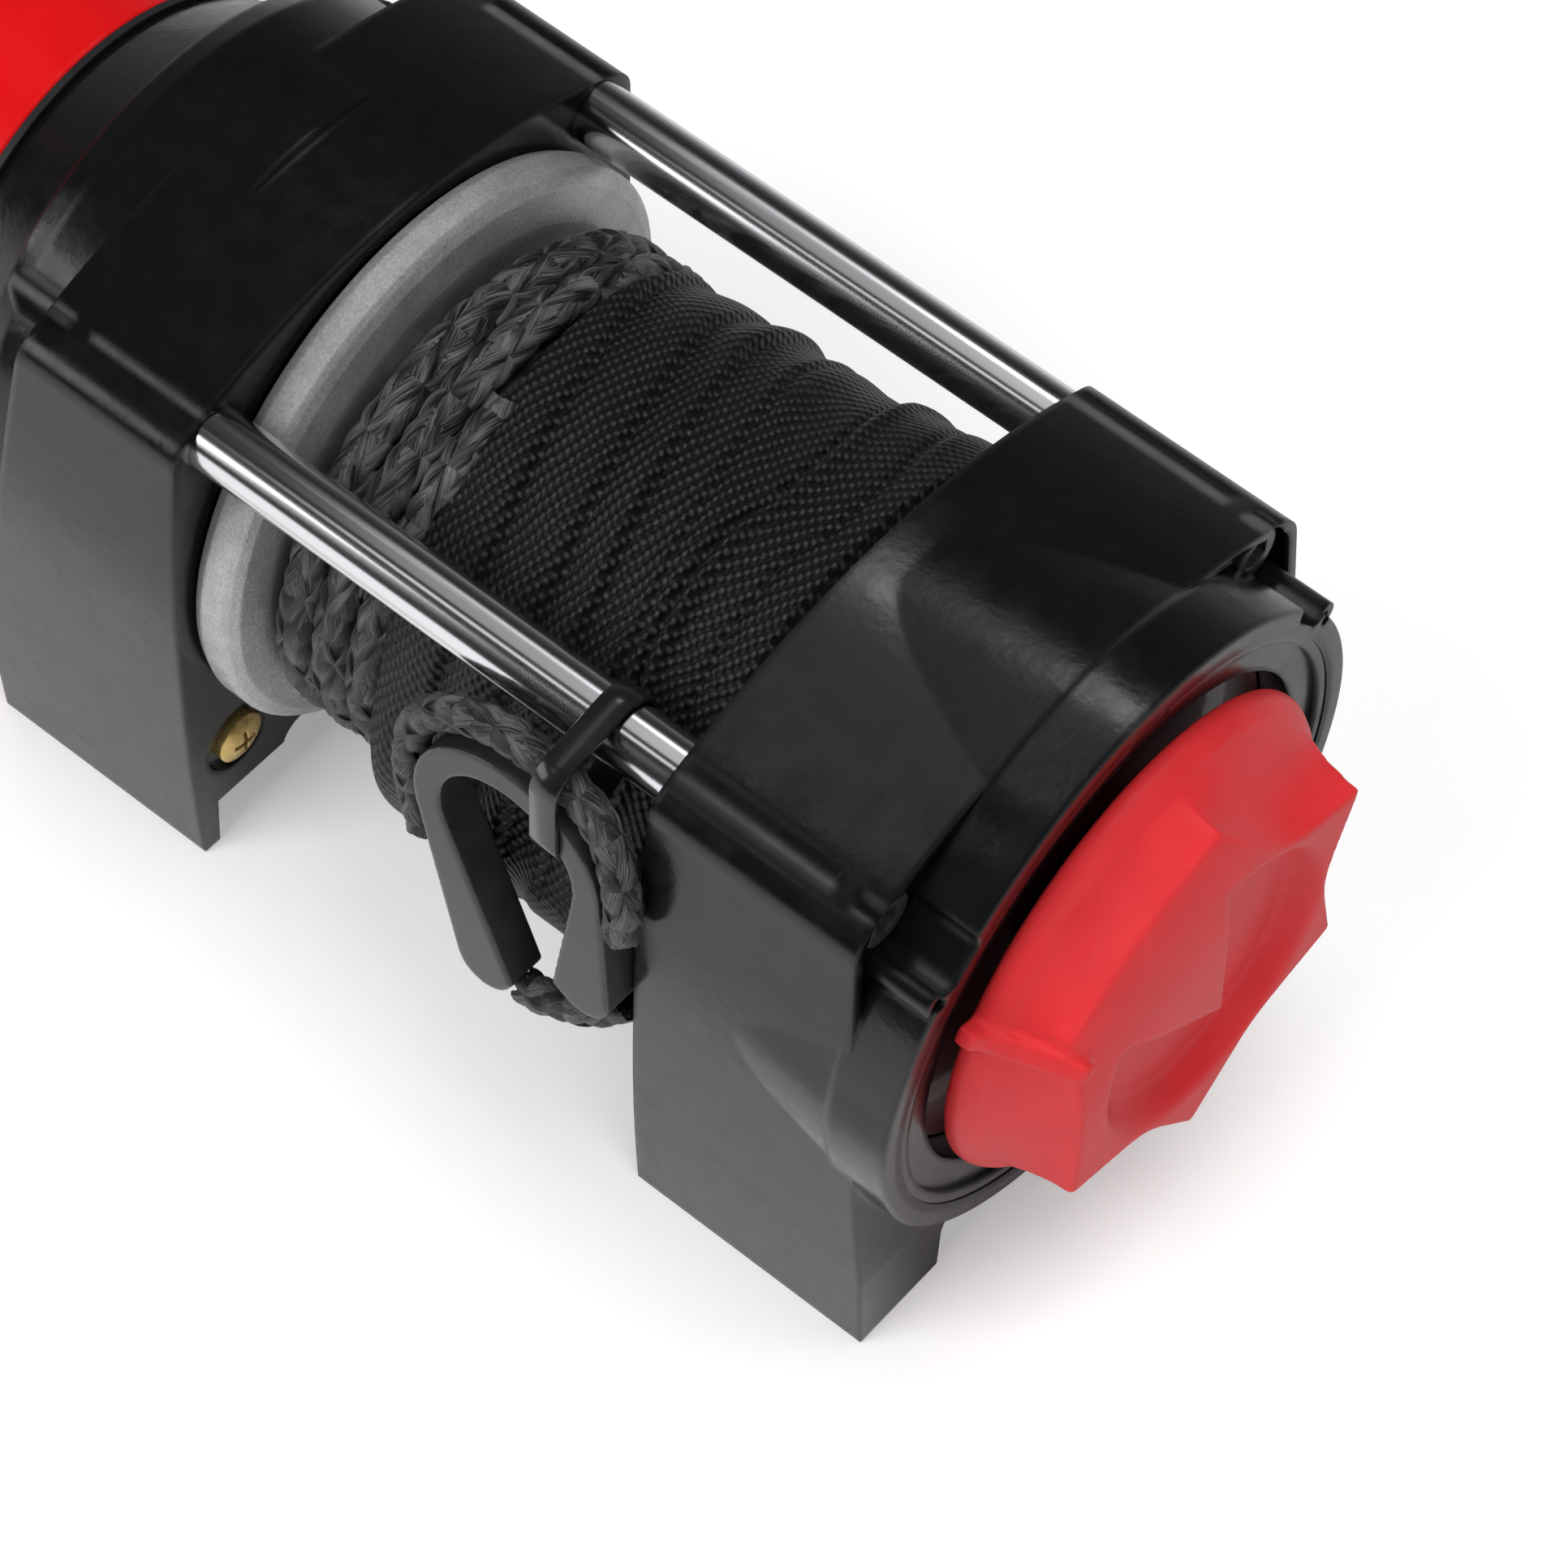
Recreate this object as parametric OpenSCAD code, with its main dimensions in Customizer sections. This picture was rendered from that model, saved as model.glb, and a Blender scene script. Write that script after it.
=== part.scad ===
// Electric recovery winch: a rope drum between two cast housings, a three-stage
// planetary gearbox, a permanent-magnet motor and wound synthetic rope with a thimble eye.
// X runs along the drum axis with the motor at -X and the clutch knob at +X. The rope
// leaves at -Y and Z is up. The origin is the centre of the foot bolt pattern.

/* [Mounting] */
// Distance between the foot bolts along the drum
foot_pitch_x = 123.8; // [122:0.1:126]
// Distance between the foot bolts across the drum
foot_pitch_y = 76.2; // [74:0.1:77]
// Radius of the foot bolt holes
foot_hole_r = 4.25; // [3.5:0.05:4.6]
// Width of a foot across the drum
foot_w = 17.5; // [17:0.1:18.5]
// Height of the arch between the feet
arch_h = 13; // [12.5:0.1:14]
// Width across flats of the captive square nuts
foot_nut_w = 13; // [12:0.1:13]
// Thickness of the captive square nuts
foot_nut_h = 6.5; // [5:0.1:6.5]
// Thickness of the foot under its nut
foot_floor = 5; // [4:0.1:5.5]

/* [Frame] */
// Height of the drum axis over the feet
axis_z = 61.5; // [61:0.1:64]
// Half width of a housing at its feet
house_y = 46; // [45.5:0.1:46.5]
// How far the side walls swell out at the height of the drum axis
wall_swell = 3.4; // [2.5:0.1:4]
// Height of a housing at its crown
crown_z = 109.8; // [109.4:0.1:110.2]
// How far the top falls from its crown to its corners
crown_fall = 10.5; // [9:0.1:11]
// Radius of the top corners
corner_r = 6; // [4:0.1:7]
// Radius of a tie rod
rod_r = 5; // [4:0.1:5.5]
// Distance of the tie rods from the drum axis across the drum
rod_y = 40.3; // [40:0.1:40.8]
// Height of the tie rods over the drum axis
rod_up = 34.6; // [34:0.1:34.8]
// Depth of a tie rod's seat in the gearbox housing
rod_seat = 28; // [24:0.5:29]
// Depth of a tie rod's seat in the motor side housing
ms_rod_seat = 22; // [16:0.5:23]
// Radius of a tie rod bolt's shank
rod_bolt_r = 3.4; // [3:0.1:3.6]
// Radius of a tie rod bolt's head
rod_head_r = 4.4; // [4:0.1:4.5]
// Height of a tie rod bolt's head
rod_head_h = 3.5; // [3:0.1:4]
// Radius of the pockets and grooves over the bolts
pocket_r = 5.2; // [5:0.1:5.4]
// Thickness of the walls round the corner hollows
block_wall = 1.8; // [1.5:0.1:2.6]
// Distance of the corner hollows' floor from the middle of the foot bolts
hollow_x = 64; // [62:0.5:68]

/* [Motor side housing] */
// Distance of the inner rim from the middle of the foot bolts
ms_rim = 44; // [43.8:0.1:44.4]
// Distance of the outer face at the feet
ms_foot_x = 85.4; // [84:0.1:86]
// Distance of the outer face at the top
ms_top_x = 73.5; // [73:0.1:75]
// Distance of the collar's shoulder
collar_x = 89; // [88:0.1:90]
// Radius of the collar at its shoulder
collar_r = 49.2; // [48:0.1:49.5]
// Length of the neck between the collar's shoulder and the motor joint
joint_l = 12.8; // [12:0.1:14]
// Step from the motor's spigot down to the hollow inside
hollow_step = 4.6; // [3:0.1:6]
// Thickness of the web that carries the drum
ms_web = 12; // [10:0.5:14]

/* [Gearbox housing] */
// Distance of the inner rim from the middle of the foot bolts
gb_rim = 42; // [41.8:0.1:42.3]
// Distance of the outer face at the feet
gb_foot_x = 84.1; // [83:0.1:84.5]
// Distance of the outer face at the top
gb_top_x = 77.3; // [77:0.1:79]
// Distance of the gear case rim
case_x = 88; // [87.5:0.1:88.5]
// Radius of the gear case
case_r = 51.4; // [51:0.1:52]
// Distance of the gear chamber's floor
chamber_x = 54.6; // [54.4:0.1:55]
// Distance of the end cover's inner face
cover_x = 77.8; // [77.8:0.1:78.2]
// Depth of the end cover's face under the rim
cover_sink = 1.2; // [0.8:0.1:1.6]
// Radius of the end cover
cover_r = 47.4; // [46.5:0.1:47.6]
// Radius of the recess that the disc lies in
disc_r = 40.8; // [40:0.1:41.5]

/* [Drum] */
// Radius of the drum flanges
flange_r = 47.15; // [46.5:0.05:47.3]
// Width of the motor side flange
flange_w = 8.6; // [8:0.1:9]
// Radius of the gearbox side flange
gear_flange_r = 45.9; // [45.6:0.1:46]
// Width of the gearbox side flange
gear_flange_w = 7; // [6:0.1:7.3]
// Radius of the drum tube
tube_r = 18.5; // [17:0.1:20]
// Radius of the drum bore
bore_r = 14.5; // [13:0.1:15]
// Thickness of the drum bushings
bush_t = 3; // [2:0.1:3.5]
// Running clearance of the drum in its bushings
journal_gap = 0.08; // [0.05:0.01:0.1]

/* [Rope] */
// Radius of the rope
rope_r = 3; // [2.5:0.1:3.1]
// Radius of the rope pack under the bare turns
core_r = 35.2; // [34:0.1:36]
// Radius of the rope pack under the last sleeve turn
core_end_r = 40.6; // [40:0.1:41]
// Bare rope turns in the outer layer
bare_turns = 1.5; // [1:0.5:1.5]
// Sleeve turns in the outer layer
sleeve_turns = 5; // [3:1:5]
// Thickness of the flattened sleeve
sleeve_t = 3.8; // [3:0.1:4]
// Width of the flattened sleeve
sleeve_w = 9.6; // [8:0.1:9.7]

/* [Gears] */
// Length of the tooth module
tooth_m = 1.4; // [1.38:0.01:1.4]
// Teeth of a sun
sun_teeth = 12; // [12:6:12]
// Teeth of a planet
planet_teeth = 18; // [18:3:18]
// Pressure angle in degrees
press_a = 25; // [24:0.5:26]
// Thinning of each tooth for play
tooth_play = 0.3; // [0.25:0.01:0.35]
// Face width of the planets of each stage, from the motor's stage to the drum's
planet_w = [4, 5, 7]; // [3:0.1:8]
// Thickness of the carrier plates
plate_w = [1.5, 1.5, 1.6]; // [1.2:0.1:2]
// Radius of a planet pin
pin_r = 4.4; // [3.5:0.1:4.6]
// Distance across corners of the drive shaft, halved
shaft_r = 3.6; // [3:0.1:3.8]

/* [Motor] */
// Radius of the motor can
can_r = 38; // [37:0.1:38.5]
// Length of the motor can
can_l = 122; // [118:1:126]
// Thickness of the motor can
can_t = 2.4; // [2:0.1:2.8]
// Thickness of the sealing ring at the motor joint
seal_w = 1.2; // [0.8:0.1:1.6]
// Length of the end cap
cap_l = 12; // [10:0.5:14]
// Radius of the motor shaft
motor_shaft_r = 5; // [4:0.1:5.5]
// Gap between the armature core and the magnets
air_gap = 2.4; // [2:0.1:3]
// Radius of a terminal stud
stud_r = 4; // [3:0.1:4]
// Free length of a terminal stud
stud_l = 17; // [15:0.5:20]

/* [Clutch knob] */
// Radius of the knob
knob_r = 39; // [38:0.1:40]
// Height of the knob over the gear case rim
knob_h = 17.5; // [16:0.1:19]
// Thickness of the knob's rim
knob_rim = 3; // [2.5:0.1:4]
// Radius of the sloping band's upper edge
band_r = 36.5; // [35.5:0.1:37.5]
// Radius at the tips of the grip's lobes
tip_r = 34.5; // [33.5:0.1:35.5]
// Radius at the bottom of the finger scoops
valley_r = 26; // [24:0.5:28]
// Grip lobes round the knob
knob_lobes = 6; // [5:1:7]
// Radius of the finger scoops between the lobes
scoop_r = 17; // [15:0.5:19]
// Depth of the dish in the knob's end
dish_depth = 4.3; // [3:0.1:5]
// Travel of the plunger behind the knob
plunger_travel = 2.4; // [2:0.1:2.4]

/* [Thimble and strap] */
// Radius of the thimble's crown
crown_r = 17; // [16.5:0.1:17]
// Thickness of the thimble's band
band_t = 5; // [4:0.1:5.5]
// Depth of the thimble
thimble_d = 7; // [6.5:0.1:7]
// Width of the retaining strap
strap_w = 4.6; // [4:0.1:6]
// Thickness of the retaining strap
strap_t = 0.9; // [0.7:0.1:1.2]

/* [Hidden] */
$fn = 96;
// Overrun of every cut
cut = 1;
// Gap between soft or loose neighbours
fit = 0.3;
// Gap between seated rigid neighbours
seat = 0.05;
joint_x = collar_x + joint_l;
ms_hollow_r = can_r - can_t - hollow_step;
rod_z = axis_z + rod_up;
hole_fn = 48;

// Housing outline: large arcs for both side walls and for the top
side_r = (pow(axis_z, 2) + pow(wall_swell, 2)) / (2 * wall_swell);
top_r = (pow(house_y, 2) + pow(crown_fall, 2)) / (2 * crown_fall);
side_c = house_y + wall_swell - side_r;
top_c = crown_z - top_r;

// Centre of the corner rounding, inside both arcs
side_in = side_r - corner_r;
top_in = top_r - corner_r;
arc_gap = norm([side_c, axis_z - top_c]);
arc_a = (pow(side_in, 2) - pow(top_in, 2) + pow(arc_gap, 2)) / (2 * arc_gap);
arc_h = sqrt(pow(side_in, 2) - pow(arc_a, 2));
arc_u = [-side_c / arc_gap, (top_c - axis_z) / arc_gap];
corner_c = [side_c + arc_a * arc_u[0] - arc_h * arc_u[1], axis_z + arc_a * arc_u[1] + arc_h * arc_u[0]];

module along_x(x0, x1) {
    translate([x0, 0, 0]) rotate([90, 0, 90]) linear_extrude(x1 - x0) children();
}

module along_y(y0, y1) {
    translate([0, y1, 0]) rotate([90, 0, 0]) linear_extrude(y1 - y0) children();
}

module disc_x(x0, x1, r) {
    translate([x0, 0, axis_z]) rotate([0, 90, 0]) cylinder(h = x1 - x0, r = r);
}

module ring_x(x0, x1, r_out, r_in) {
    difference() {
        disc_x(x0, x1, r_out);
        disc_x(x0 - cut, x1 + cut, r_in);
    }
}

// A revolved shape about the drum axis, its points given as [x, radius]
module turned(points) {
    translate([0, 0, axis_z]) rotate([0, 90, 0]) rotate_extrude() polygon([for (p = points) [p[1], p[0]]]);
}

module both_rods() {
    for (s = [-1, 1]) translate([0, s * rod_y, rod_z]) children();
}

module corner_sector(c) {
    ts = c + corner_r * (c - [side_c, axis_z]) / norm(c - [side_c, axis_z]);
    tt = c + corner_r * (c - [0, top_c]) / norm(c - [0, top_c]);
    apex = [2 * ts[0] - c[0] + corner_r, 2 * tt[1] - c[1] + corner_r];
    polygon([c, ts, apex, tt]);
}

// Outline of a housing, or of the hollows inside its walls when inset is not zero
module housing_outline(inset) {
    difference() {
        intersection() {
            translate([side_c, axis_z]) circle(side_r - inset, $fn = 360);
            translate([-side_c, axis_z]) circle(side_r - inset, $fn = 360);
            translate([0, top_c]) circle(top_r - inset, $fn = 360);
            translate([-2 * house_y, 0]) square([4 * house_y, 2 * crown_z]);
        }
        corner_sector(corner_c);
        mirror([1, 0]) corner_sector(corner_c);
        arch_cut();
    }
    for (s = [-1, 1]) translate([s * corner_c[0], corner_c[1]]) circle(corner_r - inset);
}

// Space between the two feet, with rounded upper corners
arch_y = house_y - foot_w;
arch_round = arch_h / 3;
module arch_cut() {
    translate([-arch_y, -cut]) square([2 * arch_y, arch_h - arch_round + cut]);
    translate([-arch_y + arch_round, -cut]) square([2 * (arch_y - arch_round), arch_h + cut]);
    for (s = [-1, 1]) translate([s * (arch_y - arch_round), arch_h - arch_round]) circle(arch_round);
}

// Bolt hole and captive nut slot of one foot
nut_gap = 0.2;
nut_bite = 0.5;
module foot_bolt_cut() {
    for (s = [-1, 1]) translate([0, s * foot_pitch_y / 2, 0]) {
        translate([0, 0, -cut]) cylinder(h = cut + foot_floor + 2 * foot_nut_h, r = foot_hole_r, $fn = hole_fn);
        translate([-foot_nut_w / 2 - nut_gap, s > 0 ? -foot_w : -foot_nut_w / 2 - nut_gap, foot_floor])
            cube([foot_nut_w + 2 * nut_gap, foot_w + foot_nut_w / 2 + nut_gap, foot_nut_h + nut_gap]);
    }
}

module rod_cuts(x0, seat_x, floor_x, x1) {
    both_rods() {
        translate([x0, 0, 0]) rotate([0, 90, 0]) cylinder(h = seat_x - x0, r = rod_r + seat, $fn = hole_fn);
        translate([seat_x - cut, 0, 0]) rotate([0, 90, 0])
            cylinder(h = floor_x - seat_x + 2 * cut, r = rod_bolt_r + seat, $fn = hole_fn);
        translate([floor_x, 0, 0]) rotate([0, 90, 0]) cylinder(h = x1 - floor_x, r = pocket_r, $fn = hole_fn);
    }
}

// Motor side housing
rod_floor = 3;
ms_floor = ms_rim + ms_rod_seat + rod_floor;
collar_back = 62;
journal_r = tube_r;
hub_r = journal_r + journal_gap + bush_t;
drum_gap = 1.2;
ms_web_x = ms_rim + drum_gap;
shaft_hole_r = 13;
motor_spigot = 4;
foot_open = 8;
foot_open_h = 10;
foot_wall = 3.2;
joint_step = 0.5;
seat_lip = 2;

module motor_side_housing() {
    color([0.05, 0.05, 0.055]) difference() {
        union() {
            intersection() {
                along_x(-ms_foot_x, -ms_rim) housing_outline(0);
                along_y(-2 * house_y, 2 * house_y) polygon([
                    [-ms_rim, -cut], [-ms_rim, crown_z + cut], [-ms_top_x, crown_z + cut],
                    [-ms_top_x, crown_z - crown_fall], [-ms_foot_x, foot_w], [-ms_foot_x, -cut]
                ]);
            }
            mirror([1, 0, 0]) turned([
                [collar_back, 0], [collar_back, collar_r], [collar_x - corner_r, collar_r],
                [collar_x - 0.3 * corner_r, collar_r - 0.25 * corner_r], [collar_x, collar_r - 0.9 * corner_r],
                [joint_x, can_r - joint_step], [joint_x, 0]
            ]);
        }
        // Hollow towards the motor, shaft hole and bushing seat
        disc_x(-joint_x - cut, -ms_web_x - ms_web, ms_hollow_r);
        disc_x(-ms_web_x - ms_web - cut, -ms_web_x - ms_web + cut + seat_lip, shaft_hole_r);
        disc_x(-ms_web_x - ms_web + seat_lip, -ms_rim + cut, hub_r);
        disc_x(-ms_web_x, -ms_rim + cut, flange_r - seat_lip);
        disc_x(-joint_x - cut, -joint_x + motor_spigot, can_r - can_t + seat);
        mirror([1, 0, 0]) {
            rod_cuts(ms_rim - cut, ms_rim + ms_rod_seat, ms_floor, joint_x + cut);
            translate([foot_pitch_x / 2, 0, 0]) foot_bolt_cut();
        }
        translate([-ms_web_x - ground_l, -ground_y, ground_z]) rotate([0, 90, 0]) {
            cylinder(h = ground_l + cut, r = ground_r + seat, $fn = hole_fn);
            translate([0, 0, ground_l]) cylinder(h = ms_web_x - ms_rim + cut, r = ground_head_r + seat_lip, $fn = hole_fn);
        }
        // The feet are open towards the drum behind their outer walls
        for (s = [0, 1]) mirror([0, s, 0]) translate([-ms_rim - foot_open, arch_y - cut, -cut])
            cube([foot_open + cut, foot_w - foot_wall + cut, foot_open_h + cut]);
        for (s = [-1, 1]) translate([-joint_x - cut, s * through_y, axis_z]) rotate([0, 90, 0])
            cylinder(h = through_bite + cut, r = through_r + seat, $fn = hole_fn);
    }
}

// Gold pan-head screw on the web under the drum
ground_y = 38;
ground_z = 22;
ground_r = 2.2;
ground_l = 9;
ground_head_r = 4.4;
ground_head_h = 3;

module ground_screw() {
    color([0.80, 0.62, 0.25]) translate([-ms_web_x - ground_l, -ground_y, ground_z]) rotate([0, 90, 0]) difference() {
        union() {
            cylinder(h = ground_l, r = ground_r, $fn = hole_fn);
            translate([0, 0, ground_l]) intersection() {
                cylinder(h = ground_head_h, r = ground_head_r, $fn = hole_fn);
                translate([0, 0, ground_head_h - 2 * ground_head_r]) sphere(2 * ground_head_r);
            }
        }
        for (a = [0, 90]) rotate([0, 0, a])
            translate([-ground_head_r / 2, -ground_r / 6, ground_l + ground_head_h / 2])
                cube([ground_head_r, ground_r / 3, ground_head_h]);
    }
}

// Gearbox housing
flange_gap = 0.6;
gear_flange_x = 41.2;
cavity_x = gear_flange_x + gear_flange_w + flange_gap;
gb_floor = gb_rim + rod_seat + rod_floor;
cover_seat = 5.2;

// The gear case rises out of the block's top and ends in the cover's rim
case_rise = 3;
case_step = 0.5;
ring_wall_min = 1.6;
rod_boss_r = 6.8;
hollow_low = 12;

module gear_case() {
    difference() {
        turned([
            [gb_rim + corner_r, 0], [gb_rim + corner_r, case_r - case_rise], [gb_top_x, case_r - case_step],
            [gb_top_x + case_step, case_r], [case_x - case_step / 2, case_r], [case_x, case_r - case_step / 2], [case_x, 0]
        ]);
        translate([0, -2 * house_y, -2 * house_y]) cube([gb_foot_x - corner_r, 4 * house_y, 2 * house_y + arch_h]);
    }
}

// Hollows in the end face, between the corner walls and the gear case
module corner_hollows() {
    along_x(hollow_x, case_x + cut) intersection() {
        housing_outline(block_wall);
        translate([-2 * house_y, axis_z + hollow_low]) square([4 * house_y, crown_z]);
    }
}

// Bosses on the gear case for the end cover's screws
lug_r = 2.4;
lug_hole_r = 1.1;
lug_l = 9;
lug_a = 33.5;
lug_reach = case_r - case_step;
module cover_lugs(r, x0, x1) {
    for (a = [lug_a, 180 - lug_a]) translate([x0, lug_reach * cos(a), axis_z + lug_reach * sin(a)])
        rotate([0, 90, 0]) cylinder(h = x1 - x0, r = r, $fn = hole_fn);
}

module gearbox_housing() {
    color([0.05, 0.05, 0.055]) difference() {
        union() {
            intersection() {
                along_x(gb_rim, gb_foot_x) housing_outline(0);
                along_y(-2 * house_y, 2 * house_y) polygon([
                    [gb_rim, -cut], [gb_foot_x, -cut], [gb_foot_x, foot_w],
                    [gb_top_x, crown_z - crown_fall], [gb_top_x, crown_z + cut], [gb_rim, crown_z + cut]
                ]);
                union() {
                    difference() {
                        along_y(-2 * house_y, 2 * house_y) square([2 * case_x, 2 * crown_z]);
                        corner_hollows();
                    }
                    both_rods() translate([gb_rim, 0, 0]) rotate([0, 90, 0])
                        cylinder(h = gb_floor - gb_rim, r = rod_boss_r, $fn = hole_fn);
                }
            }
            gear_case();
            cover_lugs(lug_r, gb_floor, case_x - case_step);
        }
        disc_x(gb_rim - cut, cavity_x, gear_flange_r + flange_gap);
        disc_x(gb_rim, chamber_x + cut, hub_r);
        disc_x(chamber_x, cover_x + seat, ring_out_r);
        disc_x(cover_x, case_x + cut, disc_r + cover_lip);
        disc_x(case_x - cover_sink - cover_seat, case_x + cut, cover_r + seat);
        // Groove of the retaining ring
        disc_x(case_x - cover_sink, case_x - cover_sink + clip_w + 2 * seat, clip_r + seat);
        rod_cuts(gb_rim - cut, gb_rim + rod_seat, gb_floor, gb_floor + rod_head_h);
        translate([foot_pitch_x / 2, 0, 0]) foot_bolt_cut();
        cover_lugs(lug_hole_r, case_x - lug_l, case_x);
        // Grooves that let a key pass the gear case to the bolts
        difference() {
            both_rods() translate([gb_floor, 0, 0]) rotate([0, 90, 0])
                cylinder(h = case_x - gb_floor + cut, r = pocket_r, $fn = hole_fn);
            disc_x(gb_rim, case_x + 2 * cut, cover_r + ring_wall_min);
        }
    }
}

module tie_rods() {
    color([0.75, 0.76, 0.78]) both_rods() difference() {
        translate([-ms_rim - ms_rod_seat, 0, 0]) rotate([0, 90, 0])
            cylinder(h = ms_rim + ms_rod_seat + gb_rim + rod_seat, r = rod_r, $fn = hole_fn);
        for (x = [-ms_rim - ms_rod_seat - cut, gb_rim + rod_seat - rod_thread])
            translate([x, 0, 0]) rotate([0, 90, 0]) cylinder(h = rod_thread + cut, r = rod_bolt_r + seat, $fn = hole_fn);
    }
}

rod_thread = 12;
rod_key = 2.6;
module rod_bolt() {
    difference() {
        union() {
            rotate([0, 90, 0]) cylinder(h = rod_head_h, r = rod_head_r, $fn = hole_fn);
            translate([-rod_floor - rod_thread + cut, 0, 0]) rotate([0, 90, 0])
                cylinder(h = rod_floor + rod_thread, r = rod_bolt_r, $fn = hole_fn);
        }
        translate([rod_head_h / 2, 0, 0]) rotate([0, 90, 0]) cylinder(h = rod_head_h, r = rod_key, $fn = 6);
    }
}

module tie_rod_bolts() {
    color([0.35, 0.35, 0.37]) {
        translate([gb_floor, 0, 0]) both_rods() rod_bolt();
        mirror([1, 0, 0]) translate([ms_floor, 0, 0]) both_rods() rod_bolt();
    }
}

module foot_nuts() {
    color([0.72, 0.72, 0.70])
        for (sx = [-1, 1]) for (sy = [-1, 1])
            translate([sx * foot_pitch_x / 2, sy * foot_pitch_y / 2, foot_floor]) difference() {
                translate([-foot_nut_w / 2, -foot_nut_w / 2, 0]) cube([foot_nut_w, foot_nut_w, foot_nut_h]);
                translate([0, 0, -cut]) cylinder(h = foot_nut_h + 2 * cut, r = foot_hole_r - nut_bite, $fn = hole_fn);
            }
}

// Drum: tube, two cast flanges and a journal at each end
rim_gap = 0.2;
flange_out = ms_rim - rim_gap;
flange_in = flange_out - flange_w;
edge_r = 2.4;
edge_lip = 0.8;
web_r = 8;
journal_short = 3;
ms_journal = ms_web_x + ms_web - journal_short;
clamp_in = 16;
clamp_x = -flange_in + clamp_in;
clamp_r = 2.5;

// A cast flange from x0 to x1 with rolled edges, its rope side at x0
module flange(x0, x1, r) {
    turned([
        [x0, 0], [x0, r - web_r], [x0 + edge_lip, r - edge_r], [x0 + 2 * edge_lip, r - edge_lip],
        [x0 + edge_r, r], [x1 - edge_r, r], [x1 - edge_lip, r - edge_lip], [x1, r - edge_r], [x1, 0]
    ]);
}

module drum() {
    color([0.62, 0.62, 0.62]) difference() {
        union() {
            mirror([1, 0, 0]) flange(flange_in, flange_out, flange_r);
            flange(gear_flange_x, gear_flange_x + gear_flange_w, gear_flange_r);
            disc_x(-ms_journal, chamber_x - fit, tube_r);
        }
        disc_x(-ms_journal - cut, chamber_x, bore_r);
        translate([clamp_x, 0, axis_z]) cylinder(h = 2 * tube_r, r = clamp_r + seat, $fn = hole_fn);
    }
}

module bushing(x0, x1) {
    ring_x(x0, x1, hub_r - seat / 2, journal_r + journal_gap);
}

module drum_bushing_motor_side() {
    color([0.72, 0.55, 0.30]) bushing(-ms_web_x - ms_web + seat_lip + seat, -ms_web_x);
}

module drum_bushing_gear_side() {
    color([0.72, 0.55, 0.30]) bushing(cavity_x, chamber_x - seat);
}

// Rope pack, plain under the outer layer
pack_gap = 0.4;
pack_step = 0.5;
clamp_gap = 1;
clamp_sink = 0.3;
pack_x0 = -flange_in + pack_gap;
wind_gap = 0.6;
bare_l = (2 * rope_r + wind_gap) * (bare_turns + 0.1) + 2 * rope_r;
sleeve_x0 = pack_x0 + wind_gap + (2 * rope_r + wind_gap) * (bare_turns - 0.1);
sleeve_l = gear_flange_x - pack_gap - sleeve_x0;

module rope_pack() {
    color([0.12, 0.12, 0.12]) difference() {
        turned([
            [pack_x0, tube_r + seat], [pack_x0, core_r], [pack_x0 + bare_l - rope_r, core_r],
            [pack_x0 + bare_l, core_r + pack_step], [gear_flange_x - pack_gap, core_end_r],
            [gear_flange_x - pack_gap, tube_r + seat]
        ]);
        translate([clamp_x, 0, axis_z]) cylinder(h = tube_r + clamp_h + clamp_gap, r = clamp_head_r + fit, $fn = hole_fn);
    }
}

clamp_h = 3;
clamp_head_r = 4.5;
module rope_clamp_screw() {
    color([0.5, 0.5, 0.52]) translate([clamp_x, 0, axis_z]) {
        translate([0, 0, bore_r + clamp_sink]) cylinder(h = tube_r - bore_r, r = clamp_r, $fn = hole_fn);
        translate([0, 0, tube_r + seat]) cylinder(h = clamp_h, r = clamp_head_r, $fn = hole_fn);
    }
}

// A tube wound about the drum axis, its section an ellipse of half sizes a along X and b outwards
function wound_ring(x, r, t, a, b, n) =
    [for (k = [0 : n - 1]) let (u = full_turn * k / n, rr = r + b * sin(u))
        [x + a * cos(u), rr * cos(t), axis_z + rr * sin(t)]];

module skin(rings) {
    n = len(rings[0]);
    m = len(rings);
    polyhedron(
        points = [for (q = rings) each q],
        faces = concat(
            [[for (k = [0 : n - 1]) k]],
            [for (i = [0 : m - 2]) for (k = [0 : n - 1]) for (h = [0, 1]) h == 0
                ? [i * n + k, (i + 1) * n + k, i * n + (k + 1) % n]
                : [i * n + (k + 1) % n, (i + 1) * n + k, (i + 1) * n + (k + 1) % n]],
            [[for (k = [n - 1 : -1 : 0]) (m - 1) * n + k]]
        )
    );
}

loop_rings = 24;
full_turn = 360;
wind_start = 250;
bare_sides = 6;
function bare_center(i) = let (t = i / loop_rings) [
    pack_x0 + rope_r + wind_gap + (2 * rope_r + wind_gap) * t, core_r + fit + rope_r];
bare_rings = [for (i = [0 : loop_rings * bare_turns]) let (c = bare_center(i))
    wound_ring(c[0], c[1], wind_start - full_turn * i / loop_rings, rope_r, rope_r, bare_sides)];

function pack_radius(x) = let (f = (x - pack_x0 - bare_l) / (gear_flange_x - pack_gap - pack_x0 - bare_l))
    core_r + pack_step + (core_end_r - core_r - pack_step) * max(0, min(1, f));
sleeve_lead = 2 * rope_r;
sleeve_pitch = (sleeve_l - sleeve_lead - sleeve_w - wind_gap) / sleeve_turns;
sleeve_rings = [for (i = [0 : loop_rings * sleeve_turns])
    let (x = sleeve_x0 + sleeve_lead + sleeve_w / 2 + sleeve_pitch * i / loop_rings)
        wound_ring(x, pack_radius(x + sleeve_w / 2) + fit + sleeve_t / 2, wind_start - full_turn * i / loop_rings,
            sleeve_w / 2, sleeve_t / 2, bare_sides)];

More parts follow.
